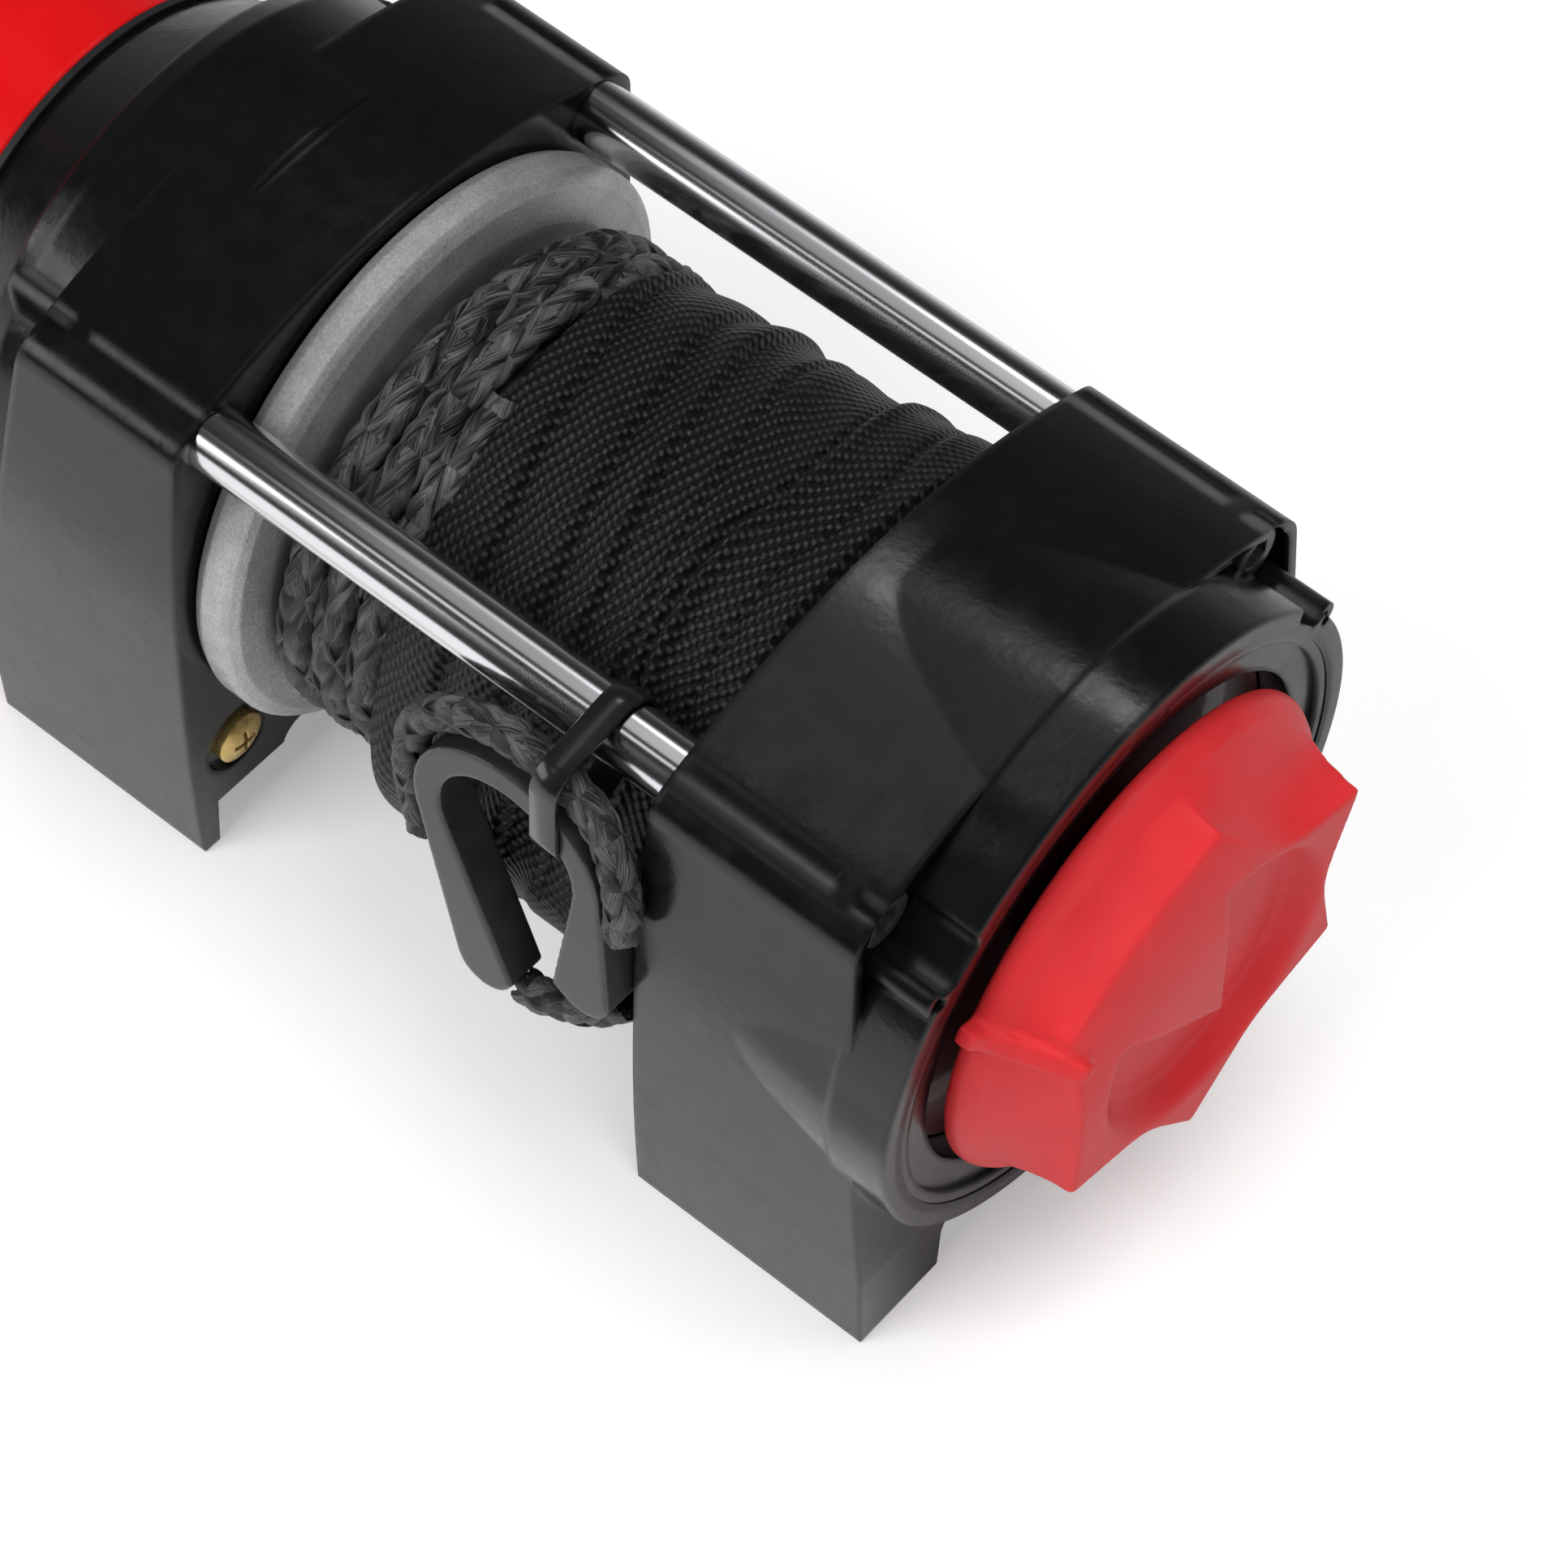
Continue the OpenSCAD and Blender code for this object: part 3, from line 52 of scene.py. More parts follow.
def link(name, mesh, body, slot, *replaced):
    """Puts a finished mesh on its body, in place of the CAD nodes that it stands for."""
    piece = bpy.data.objects.new(name, mesh)
    bpy.context.scene.collection.objects.link(piece)
    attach(piece, body)
    if replaced:
        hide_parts(*replaced)
    return piece


def grid_faces(rows, columns, wrap_rows=False, wrap_columns=False):
    """Quads between neighbouring rows and columns of a grid of points, as one array."""
    i = np.arange(rows if wrap_rows else rows - 1)
    j = np.arange(columns if wrap_columns else columns - 1)
    i, j = np.meshgrid(i, j, indexing="ij")
    k, l = (i + 1) % rows, (j + 1) % columns
    return np.stack([i * columns + j, k * columns + j, k * columns + l, i * columns + l], -1).reshape(-1, 4)


def mesh_of(name, points, faces, material, uv=None):
    """A smooth mesh from an array of points in millimetres and an array of quads; uv gives each point its place in
    the pattern."""
    mesh = bpy.data.meshes.new(name)
    points = np.asarray(points, float).reshape(-1, 3) * MM
    mesh.vertices.add(len(points))
    mesh.vertices.foreach_set("co", points.ravel())
    count, sides = faces.shape
    mesh.loops.add(count * sides)
    mesh.loops.foreach_set("vertex_index", faces.ravel().astype(np.int32))
    mesh.polygons.add(count)
    mesh.polygons.foreach_set("loop_start", np.arange(count, dtype=np.int32) * sides)
    mesh.polygons.foreach_set("use_smooth", np.ones(count, bool))
    if uv is not None:
        layer = mesh.uv_layers.new(name="pattern")
        layer.data.foreach_set("uv", np.asarray(uv, float).reshape(-1, 2)[faces.ravel()].ravel())
    mesh.update(calc_edges=True)
    mesh.validate()
    mesh.materials.append(material)
    return mesh


def outwards(mesh):
    """Turns every face of a closed mesh outwards, after its doubles are merged."""
    work = bmesh.new()
    work.from_mesh(mesh)
    bmesh.ops.remove_doubles(work, verts=work.verts, dist=MERGE_WITHIN)
    bmesh.ops.recalc_face_normals(work, faces=work.faces)
    work.to_mesh(mesh)
    work.free()
    return mesh


def rounded(name, mesh, material, voxel, rounds):
    """A closed mesh remade in cubes of size voxel and smoothed, each round moving a point half way to the mean of
    its neighbours, which rounds its edges as a casting's are."""
    source = bpy.data.objects.new(name + "_source", mesh)
    bpy.context.scene.collection.objects.link(source)
    remesh = source.modifiers.new("remesh", "REMESH")
    remesh.mode = "VOXEL"
    remesh.voxel_size = voxel * MM
    remesh.use_smooth_shade = True
    smooth = source.modifiers.new("smooth", "SMOOTH")
    smooth.factor = 0.5
    smooth.iterations = rounds
    bpy.context.view_layer.update()
    made = bpy.data.meshes.new_from_object(source.evaluated_get(bpy.context.evaluated_depsgraph_get()))
    bpy.data.objects.remove(source)
    made.name = name
    made.materials.clear()
    made.materials.append(material)
    return made


def merged_copy(node):
    """A copy of a CAD node's mesh with its loose triangles merged."""
    mesh = NODES[node].data.copy()
    mesh.name = node + "_merged"
    return outwards(mesh)


# ---------------------------------------------------------------- shaders

BEVEL_SAMPLES = 4


class Value:
    """A shader socket that takes part in Python arithmetic; each operator adds one Math node."""

    def __init__(self, finish, socket):
        self.finish, self.socket = finish, socket

    def math(self, operation, *others):
        """One Math node on this value and the others."""
        return self.finish.node("ShaderNodeMath", {"operation": operation}, dict(enumerate((self, *others))))

    def __add__(self, other):
        return self.math("ADD", other)

    __radd__ = __add__

    def __mul__(self, other):
        return self.math("MULTIPLY", other)

    __rmul__ = __mul__

    def __sub__(self, other):
        return self.math("SUBTRACT", other)

    def __rsub__(self, other):
        return self.finish.node("ShaderNodeMath", {"operation": "SUBTRACT"}, {0: other, 1: self})

    def ramp(self, low, high):
        """0 below low, 1 above high and even between them."""
        return self.finish.node("ShaderNodeMapRange", {"clamp": True}, {0: self, 1: low, 2: high})


class Finish:
    """One material: a Principled shader whose constants sit on its own sockets."""

    def __init__(self, name, **constants):
        self.material = bpy.data.materials.new(name)
        self.material.use_nodes = True
        self.tree = self.material.node_tree
        self.shader = self.tree.nodes["Principled BSDF"]
        for socket, value in constants.items():
            self.feed(socket.replace("_", " "), value)

    def feed(self, socket, value):
        """Sets one socket of the shader, or links a Value to it."""
        self.join(self.shader.inputs[socket], value)

    def join(self, socket, value):
        """Links a Value to a socket, or sets the socket's constant, with alpha 1 on a colour."""
        if isinstance(value, Value):
            self.tree.links.new(value.socket, socket)
        elif hasattr(value, "__len__") and len(value) == 3 and socket.type == "RGBA":
            socket.default_value = (*value, 1)
        else:
            socket.default_value = value

    def node(self, kind, settings=None, values=None, out=0):
        """Adds a node of that kind: settings first, then the values or links of its sockets."""
        node = self.tree.nodes.new(kind)
        for name, value in (settings or {}).items():
            setattr(node, name, value)
        for socket, value in (values or {}).items():
            self.join(node.inputs[socket], value)
        return Value(self, node.outputs[out])

    def place(self, what="Object"):
        """Coordinates on the piece: its own place in metres, or its UV map."""
        return self.node("ShaderNodeTexCoord", out=what)

    def scaled(self, place, scale):
        """Coordinates times a scale for each direction."""
        return self.node("ShaderNodeMapping", None, {"Vector": place, "Scale": scale})

    def noise(self, place, scale, detail=3.0, rough=0.55):
        """Cloudy value about 0.5, with cells of 1/scale."""
        return self.node("ShaderNodeTexNoise", None,
                         {"Vector": place, "Scale": scale, "Detail": detail, "Roughness": rough})

    def mix(self, factor, low, high):
        """Colour between low and high."""
        return self.node("ShaderNodeMix", {"data_type": "RGBA"}, {0: factor, 6: low, 7: high}, out=2)

    def bump(self, height, distance, strength=1.0, below=None):
        """Normal tilted by a height that stands for distance in millimetres, over the normal below."""
        values = {"Height": height, "Distance": distance * MM, "Strength": strength}
        if below is not None:
            values["Normal"] = below
        return self.node("ShaderNodeBump", None, values)

    def soft_edges(self, radius):
        """The normal with edges rounded by radius, for CAD pieces that keep their own mesh."""
        return self.node("ShaderNodeBevel", {"samples": BEVEL_SAMPLES}, {"Radius": radius * MM})


def gloss_paint():
    """Black gloss paint over a casting: orange peel, faint mottling."""
    f = Finish("black_gloss_paint", Base_Color=(0.0042, 0.0046, 0.005), IOR=1.5)
    place = f.place()
    cloud = f.noise(place, 190.0, 4.0)
    f.feed("Roughness", 0.13 + 0.16 * cloud.ramp(0.3, 0.75))
    peel = f.noise(place, 900.0, 2.0) + 1.6 * f.noise(place, 260.0, 2.0)
    f.feed("Normal", f.bump(peel, 0.035, 0.55, f.soft_edges(1.5)))
    return f.material


def chrome():
    """Chromed rod with faint lengthwise polish lines."""
    f = Finish("chrome", Base_Color=(0.78, 0.79, 0.81), Metallic=1.0)
    lines = f.noise(f.scaled(f.place(), (25, 1400, 1400)), 1.0, 2.0)
    f.feed("Roughness", 0.13 + 0.08 * lines)
    return f.material


def cast_metal(name, colour, dark, rough=0.42, grain=1500.0, depth=0.05, edge=0.5, metallic=0.8):
    """Bare cast or machined metal with a fine grain."""
    f = Finish(name, Metallic=metallic)
    place = f.place()
    cloud = f.noise(place, 240.0, 4.0)
    speck = f.noise(place, grain, 2.0)
    f.feed("Base Color", f.mix((0.35 * cloud + 0.65 * speck).ramp(0.32, 0.68), dark, colour))
    f.feed("Roughness", (rough - 0.08) + 0.22 * speck)
    f.feed("Normal", f.bump(speck, depth, 0.7, f.soft_edges(edge)))
    return f.material


def plain_coat(name, colour, dark, rough, coat=0.0, grain=700.0, depth=0.03, edge=0.4, shine=0.5):
    """Moulded or painted surface with a slight change of tone and a fine texture."""
    f = Finish(name, Coat_Weight=coat, Coat_Roughness=0.05, Specular_IOR_Level=shine)
    place = f.place()
    cloud = f.noise(place, 120.0, 3.0)
    f.feed("Base Color", f.mix(cloud.ramp(0.3, 0.7), dark, colour))
    f.feed("Roughness", rough + 0.12 * (cloud - 0.5))
    f.feed("Normal", f.bump(f.noise(place, grain, 2.0), depth, 0.6, f.soft_edges(edge) if edge else None))
    return f.material


def fibre_strands(name, dark, light):
    """Plaited fibre bundles: fine bright threads that run along each strand (the pattern's first direction)."""
    f = Finish(name, Specular_IOR_Level=0.6)
    place = f.place("UV")
    threads = f.noise(f.scaled(place, (0.16, 6.5, 1.0)), 1.0, 4.0, 0.75)
    worn = f.noise(f.scaled(place, (0.12, 0.5, 1.0)), 1.0, 2.0)
    mask = (0.62 * threads + 0.45 * worn).ramp(0.49, 0.70)
    f.feed("Base Color", f.mix(mask, dark, light))
    f.feed("Roughness", 0.30 + 0.3 * threads)
    f.feed("Normal", f.bump(threads, 0.3, 1.0))
    return f.material


def woven_sleeve():
    """Black woven sleeve: staggered thread crowns 1.3 mm apart, from two crossing cosine waves. The one that varies
    along the thread is the weaker, which draws the crowns out into dashes. Its colour is painted light: lighter on
    the crowns as a painted highlight, darker between them as painted shade."""
    f = Finish("black_weave", Roughness=0.5, Specular_IOR_Level=0.35)
    place = f.place("UV")
    parts = f.tree.nodes.new("ShaderNodeSeparateXYZ")
    f.tree.links.new(place.socket, parts.inputs[0])
    along, across = (Value(f, parts.outputs[i]) for i in (0, 1))
    wander = f.noise(f.scaled(place, (0.15, 0.15, 1.0)), 1.0, 2.0)
    rows = TAU * (0.5565 * across + 0.341 * along + 0.7 * wander)
    steps = TAU * (0.4565 * across - 0.567 * along + 0.7 * wander)
    crowns = 0.58 * rows.math("COSINE") - 0.42 * steps.math("COSINE")
    fibre = f.noise(f.scaled(place, (1.6, 1.6, 1.0)), 1.0, 3.0, 0.7)
    # Painted highlight and shade: crowns lighter, gaps between them darker, broken up by the fibre noise
    painted_crown_light = crowns.ramp(0.1, 0.9) * fibre.ramp(0.3, 0.7)
    f.feed("Base Color", f.mix(painted_crown_light, (0.003, 0.0032, 0.0036), (0.047, 0.049, 0.053)))
    f.feed("Normal", f.bump(crowns + 0.5 * fibre, 0.22, 0.8))
    return f.material


def floor_white():
    """White floor that keeps a soft shadow. Camera rays see it a little brighter. Mirror rays that meet it just in
    front of the winch, between y -0.08 and -0.04, see it brighter too, a painted reflection. Mirror rays that meet
    it behind y -0.12 see it dimmer, painted shade in those reflections."""
    f = Finish("floor_white", Roughness=0.9)
    rays = f.tree.nodes.new("ShaderNodeLightPath")
    camera, glossy = (Value(f, rays.outputs[kind]) for kind in ("Is Camera Ray", "Is Glossy Ray"))
    y = f.node("ShaderNodeSeparateXYZ", None, {0: f.place()}, out=1)
    # Painted shade in reflections: mirror rays see the floor behind y -0.12 darker
    f.feed("Base Color", f.mix(glossy * y.ramp(-0.13, -0.11), (0.86, 0.86, 0.86), (0.64, 0.64, 0.64)))
    # Painted reflection: mirror rays see a brighter strip just in front of the winch
    painted_reflection_strip = y.ramp(-0.088, -0.076) * (1.0 - y.ramp(-0.05, -0.03))
    f.feed("Emission Color", f.mix(0.68 * camera + 1.15 * glossy * painted_reflection_strip, (0, 0, 0), (0.4, 0.4, 0.4)))
    f.feed("Emission Strength", 1.0)
    return f.material


FINISHES = {
    "housing": gloss_paint(),
    "chrome": chrome(),
    "steel_dark": cast_metal("dark_steel", (0.20, 0.20, 0.21), (0.11, 0.11, 0.12), 0.38, 900.0, 0.02),
    "steel": cast_metal("bright_steel", (0.62, 0.62, 0.63), (0.45, 0.45, 0.46), 0.30, 900.0, 0.015),
    "gold_screw": cast_metal("yellow_zinc", (0.86, 0.62, 0.24), (0.62, 0.42, 0.14), 0.24, 800.0, 0.015),
    "cast_drum": cast_metal("cast_aluminium", (0.66, 0.66, 0.65), (0.40, 0.40, 0.40), 0.46, 2100.0, 0.11, 0.7, 0.72),
    "bronze": cast_metal("bronze", (0.62, 0.40, 0.18), (0.42, 0.27, 0.12), 0.36),
    "copper": cast_metal("copper", (0.72, 0.33, 0.18), (0.50, 0.22, 0.12), 0.34),
    "rope": fibre_strands("rope_fibre", (0.006, 0.006, 0.0063), (0.19, 0.19, 0.185)),
    "sleeve": woven_sleeve(),
    "thimble_black": plain_coat("thimble_black", (0.030, 0.031, 0.032), (0.018, 0.019, 0.020), 0.36, 0.15,
                                900.0, 0.02, 0.0),
    "strap_black": plain_coat("strap_black", (0.012, 0.012, 0.013), (0.008, 0.008, 0.009), 0.26, 0.3,
                              800.0, 0.01, 0.0),
    "friction": plain_coat("friction_lining", (0.16, 0.12, 0.08), (0.10, 0.07, 0.05), 0.8),
    "dark_red": plain_coat("dark_red", (0.15, 0.006, 0.010), (0.11, 0.004, 0.007), 0.35, 0.3),
    "knob_red": plain_coat("knob_red", (0.66, 0.030, 0.034), (0.60, 0.025, 0.029), 0.45, 0.0,
                           1300.0, 0.06, 0.0, 0.25),
    "rubber_black": plain_coat("rubber_black", (0.015, 0.015, 0.016), (0.010, 0.010, 0.011), 0.55),
    "motor_red": plain_coat("motor_red_gloss", (0.66, 0.006, 0.007), (0.62, 0.005, 0.006), 0.22, 1.0,
                            300.0, 0.008, 0.5),
    "phenolic": plain_coat("phenolic", (0.24, 0.15, 0.07), (0.17, 0.10, 0.05), 0.55),
}

for node in NODES.values():
    for place, used in enumerate(list(node.data.materials)):
        name = used.name.split(".")[0]
        if name in FINISHES:
            node.data.materials[place] = FINISHES[name]


# ---------------------------------------------------------------- thimble

THIMBLE_VOXEL, THIMBLE_ROUNDS = 0.35, 8
shell = rounded("thimble_formed", merged_copy("thimble"), FINISHES["thimble_black"], THIMBLE_VOXEL, THIMBLE_ROUNDS)
thimble = link("thimble_formed", shell, "frame", "thimble_black", "thimble")


# ---------------------------------------------------------------- rope

# Radius of the rope, and its strands as shares of that: their distance, how far they weave, width and thickness
ROPE = 3.0
REACH, WAVE = 0.66, 0.13
STRAND_WIDE, STRAND_THICK = 0.52, 0.2


def frames_along(path):
    """Two side vectors at every point of a path, carried along it without twist: each is the one before less its
    part along the tangent, made unit length."""
    path = np.asarray(path, float)
    tangent = np.gradient(path, axis=0)
    tangent /= np.linalg.norm(tangent, axis=1)[:, None]
    side = np.empty_like(path)
    start = np.cross(tangent[0], [0.13, 0.95, 0.27])
    side[0] = start / np.linalg.norm(start)
    for i in range(1, len(path)):
        carried = side[i - 1] - tangent[i] * (side[i - 1] @ tangent[i])
        side[i] = carried / np.linalg.norm(carried)
    return side, np.cross(tangent, side)


def spaced(points, step):
    """Points at even steps on the smooth curve through the given ones, by cubic pieces with shared slopes, and
    their distances along it."""
    p = np.asarray(points, float)
    slope = np.gradient(p, axis=0)
    t = np.linspace(0, 1, 24, endpoint=False)[:, None]
    a, b, u, v = p[:-1, None], p[1:, None], slope[:-1, None], slope[1:, None]
    curve = ((2 * t**3 - 3 * t**2 + 1) * a + (t**3 - 2 * t**2 + t) * u
             + (3 * t**2 - 2 * t**3) * b + (t**3 - t**2) * v).reshape(-1, 3)
    curve = np.vstack([curve, p[-1:]])
    run = np.concatenate([[0], np.cumsum(np.linalg.norm(np.diff(curve, axis=0), axis=1))])
    wanted = np.linspace(0, run[-1], max(8, int(run[-1] / step)))
    return np.stack([np.interp(wanted, run, curve[:, k]) for k in range(3)], 1), wanted


def braid(name, path, run, radius, pitch, material, flat=1.0, side=None, up=None):
    """Twelve-strand braid round a path: six strands turn one way and six the other, each at angle = start plus or
    minus 2 pi run/pitch and at distance = radius (REACH plus or minus WAVE cos(6 turn)) from the path, so that they
    pass over and under. Every strand is a flattened tube. Flat widens the braid along its first side vector."""
    if side is None:
        side, up = frames_along(path)
    turn = TAU * run / pitch
    sides = 8
    around = TAU * np.arange(sides) / sides
    wide, thick = radius * STRAND_WIDE, radius * STRAND_THICK
    points, faces, places = [], [], []
    for way in (1, -1):
        for k in range(6):
            angle = way * turn + TAU * k / 6 + (0.0 if way > 0 else TAU / 12)
            lift = np.cos(6 * turn + math.pi * k)
            reach = radius * (REACH + WAVE * way * lift)
            radial = np.cos(angle)[:, None] * side * flat + np.sin(angle)[:, None] * up
            centre = path + reach[:, None] * radial
            forward = np.gradient(centre, axis=0)
            forward /= np.linalg.norm(forward, axis=1)[:, None]
            across = np.cross(forward, radial)
            across /= np.linalg.norm(across, axis=1)[:, None]
            out = np.cross(across, forward)
            ring = (centre[:, None] + wide * np.cos(around)[None, :, None] * across[:, None]
                    + thick * np.sin(around)[None, :, None] * out[:, None])
            first = len(points) * len(path) * sides
            points.append(ring.reshape(-1, 3))
            faces.append(grid_faces(len(path), sides, wrap_columns=True) + first)
            along = np.broadcast_to(run[:, None] + 37.0 * k + 11.0 * way, (len(path), sides))
            beside = np.broadcast_to(2 * around / TAU * wide * 2 + 3.1 * k, along.shape)
            places.append(np.stack([along, beside], -1).reshape(-1, 2))
    return mesh_of(name, np.concatenate(points), np.concatenate(faces), material, np.concatenate(places))


# Inner face of the motor-side flange, and the path of the bare turns beside it
FLANGE_IN = -35.2
BARE_PATH_R, BARE_PITCH = 38.5, 6.6


def wound(x0, pitch, radius, start, turns, step):
    """Path of a winding about the drum axis, from angle start downwards: x grows by the pitch every turn, and the
    radius stays. Its side vector lies along the axis. Angles are in degrees."""
    count = int(abs(turns) * 360 / step)
    turned = np.linspace(0, turns, count)
    angle = np.radians(start - 360 * turned)
    path = np.stack([x0 + pitch * turned, radius * np.cos(angle), AXIS_Z + radius * np.sin(angle)], 1)
    up = np.stack([np.zeros(count), np.cos(angle), np.sin(angle)], 1)
    side = np.tile([1.0, 0.0, 0.0], (count, 1))
    return path, np.linspace(0, TAU * radius * turns, count), side, up


# Almost two and a half turns that start under the drum, pressed a little wider than the free rope
path, run, side, up = wound(FLANGE_IN + 3.6, BARE_PITCH, BARE_PATH_R, 250, 2.4, 1.7)
mesh = braid("rope_bare_turns_braided", path, run, ROPE * 1.08, 54.0, FINISHES["rope"], 1.12, side, up)
link("rope_bare_turns_braided", mesh, "drum", "rope", "rope_bare_turns")

EYE = [(4.6, -50.6, 60), (3.0, -50.6, 66), (2.0, -50.6, 72), (2.0, -50.6, 78), (3.6, -50.6, 84), (7.0, -50.6, 89),
       (11.6, -50.6, 92.8), (17, -50.6, 95), (23, -50.6, 95.6), (29, -50.6, 94.4), (34.2, -50.6, 91.6),
       (38.4, -51.2, 87.4), (40.8, -52.2, 83), (42, -52.6, 78), (42, -52.6, 72)]
TAIL = [(23.5, -50.6, 38), (26, -50.6, 38.2), (29, -50.4, 39.4), (33, -49.8, 41), (36.5, -48.6, 43),
        (39.4, -47.4, 46)]
EYE_PITCH, EYE_STEP = 42.0, 0.9
for name, points, node in (("rope_eye_braided", EYE, "rope_eye"), ("rope_tail_braided", TAIL, "rope_tail")):
    path, run = spaced(points, EYE_STEP)
    mesh = braid(name, path, run, ROPE - 0.1, EYE_PITCH, FINISHES["rope"])
    piece = link(name, mesh, "frame", "rope", node)


# ---------------------------------------------------------------- rope pack and sleeve

def smoothstep(low, high, value):
    """0 below low, 1 above high and t squared times (3 - 2t) between them."""
    t = np.clip((value - low) / (high - low), 0, 1)
    return t * t * (3 - 2 * t)


def around_drum(x, angle, radius):
    """Points at a place along the drum axis, an angle about it and a distance from it."""
    return np.stack([x, radius * np.cos(angle), AXIS_Z + radius * np.sin(angle)], -1)


def rope_layer():
    """Rope layer under the outer turns: a closed surface of revolution whose radius swells and dips once
    every rope pitch, shifted by the angle, so that the ridges wind."""
    x0, x1 = FLANGE_IN + 0.4, 40.8
    ridge, drum_r = 1.3, 18.6
    angle = np.linspace(0, TAU, 240, endpoint=False)
    along = np.linspace(x0, x1, 150)
    x, a = np.meshgrid(along, angle, indexing="ij")
    base = np.interp(x, [x0, x0 + 17.5, x1], [35.1, 35.6, 40.5])
    radius = base - ridge + ridge * np.abs(np.sin(math.pi * (x - x0) / BARE_PITCH + a / 2))
    radius[0] = radius[-1] = drum_r
    points = around_drum(x, a, radius)
    faces = grid_faces(len(along), len(angle), wrap_columns=True)
    inner = np.arange(len(angle))
    cap = np.stack([inner, np.roll(inner, -1), np.roll(inner, -1) + (len(along) - 1) * len(angle),
                    inner + (len(along) - 1) * len(angle)], -1)
    uv = np.stack([a * 37, x * 1.2], -1)
    return mesh_of("rope_pack_layers", points, np.vstack([faces, cap]), FINISHES["rope"], uv)


link("rope_pack_layers", outwards(rope_layer()), "drum", "rope", "rope_pack")


def periodic(angle_deg, known):
    """Value at an angle from known values, even between them and the same after a whole turn."""
    known = sorted(known)
    at = np.array([k[0] for k in known])
    value = np.array([k[1] for k in known])
    return np.interp(np.mod(angle_deg - at[0], 360) + at[0], np.append(at, at[0] + 360), np.append(value, value[0]))


# Places along the axis, in millimetres, at angles in degrees: how the creases run, and where the fold lies
CREASE_RUN = [(-60, -5), (0, -7.5), (60, -7.2), (75, -4.5), (92, -1.4), (109, 1.6), (126, 4.6), (150, 5.6),
              (181, 5.0), (230, 2.5), (270, -1.0)]
CREASES = (-8.6, 2.2, 9.4, 17.0)
FOLD_X = [(-60, 27), (0, 24), (42, 21.6), (74, 24.6), (92, 25.0), (102, 23.2), (116, 24.0), (130, 25.4), (150, 29),
          (181, 30), (240, 29)]
SLEEVE_END_X = 41.0
# How far the slack hangs from the axis, and the most that clears the eye when the drum turns
SLACK_R, CLEAR_R = 46.4, 46.9


def hump(away, width):
    """1 in the middle and falling off to both sides as exp of minus the square of away/width."""
    return np.exp(-((away / width) ** 2))


def sleeve_radius(x, a, share, lean, past):
    """Height of the sleeve: a slow cone, less a furrow at every crease with a steep lip beside it, plus the swell
    between creases, the raised second wrap past the fold with its own furrow and edge, slow waves, and the slack
    that hangs below the front. It turns in at both ends."""
    deg = np.degrees(a)
    cone = 39.9 + 0.062 * (x + 20)
    radius = cone
    for crease in CREASES:
        away = lean - crease
        lip = smoothstep(-7.5, -0.6, away) * np.exp(-np.maximum(away, 0) / 0.5) * (away < 3)
        radius = radius - 0.85 * hump(away, 0.75) + 0.75 * lip
    radius = radius + 0.8 * np.sin(math.pi * np.clip((lean + 8.6) / 10.8, -1, 3)) ** 2
    radius = radius + 1.35 * smoothstep(-0.5, 0.5, past) + 0.75 * hump(past - 1.3, 1.1) - 0.7 * hump(past + 0.7, 0.7)
    second = past - 7.5 - 2.2 * np.cos(a - math.radians(80))
    radius = radius - 0.6 * hump(second, 0.8) + 0.5 * smoothstep(-0.4, 0.6, second)
    radius = radius + 0.35 * np.sin(3.1 * a + 0.22 * x) * np.sin(0.16 * x + 1.3)
    hangs = np.exp(-(((deg - 207) / 30) ** 4)) * smoothstep(-18, -8, x) * (1 - smoothstep(31, 37, x))
    radius = radius + (SLACK_R - cone) * hangs * (1 - 0.12 * np.sin(0.33 * x + 0.05 * deg))
    radius = np.minimum(radius, CLEAR_R)
    return radius - 2.4 * (1 - smoothstep(0, 0.02, share)) - 3.2 * smoothstep(0.965, 1.0, share)


def sleeve():
    """Woven sleeve over the drum as radius(x, angle). The left edge follows the wrap, slow creases run with it, and
    right of the fold a second wrap lies a thread higher. The surface closes through an inner skin."""
    angle = np.linspace(0, TAU, 520, endpoint=False)
    share, a = np.meshgrid(np.linspace(0, 1, 150), angle, indexing="ij")
    deg = np.degrees(a)
    frayed = hump(deg - 109, 4.5)
    left = -16.4 - 2.6 * np.cos(a - math.radians(40)) - 3.2 * frayed * (0.75 + 0.25 * np.cos(9.0 * deg))
    x = left + share * (SLEEVE_END_X - left)
    lean = x - periodic(deg, CREASE_RUN)
    past = x - periodic(deg, FOLD_X) - 0.35 * np.sin(np.radians(deg * 5))
    outer = around_drum(x, a, sleeve_radius(x, a, share, lean, past))
    inner = around_drum(x, a, np.interp(x, [-35, -17, 41], [35.4, 36.2, 40.2]))
    points = np.concatenate([outer.reshape(-1, 3), inner[[0, -1]].reshape(-1, 3)])
    rows, columns = x.shape
    ring = np.arange(columns)
    after = np.roll(ring, -1)
    last, low, high = (rows - 1) * columns, rows * columns, rows * columns + columns
    faces = [grid_faces(rows, columns, wrap_columns=True),
             np.stack([ring, after, low + after, low + ring], -1),
             np.stack([last + after, last + ring, high + ring, high + after], -1),
             np.stack([low + ring, low + after, high + after, high + ring], -1)]
    beyond = smoothstep(-0.5, 0.5, past)
    uv = np.stack([a * 43.0 - 0.25 * lean * beyond, lean + 0.22 * a * 43 * beyond], -1)
    uv = np.concatenate([uv.reshape(-1, 2), uv[[0, -1]].reshape(-1, 2)])
    return mesh_of("rope_sleeve_woven", points, np.vstack(faces), FINISHES["sleeve"], uv)


link("rope_sleeve_woven", outwards(sleeve()), "drum", "sleeve", "rope_sleeve_turns")


# ---------------------------------------------------------------- strap

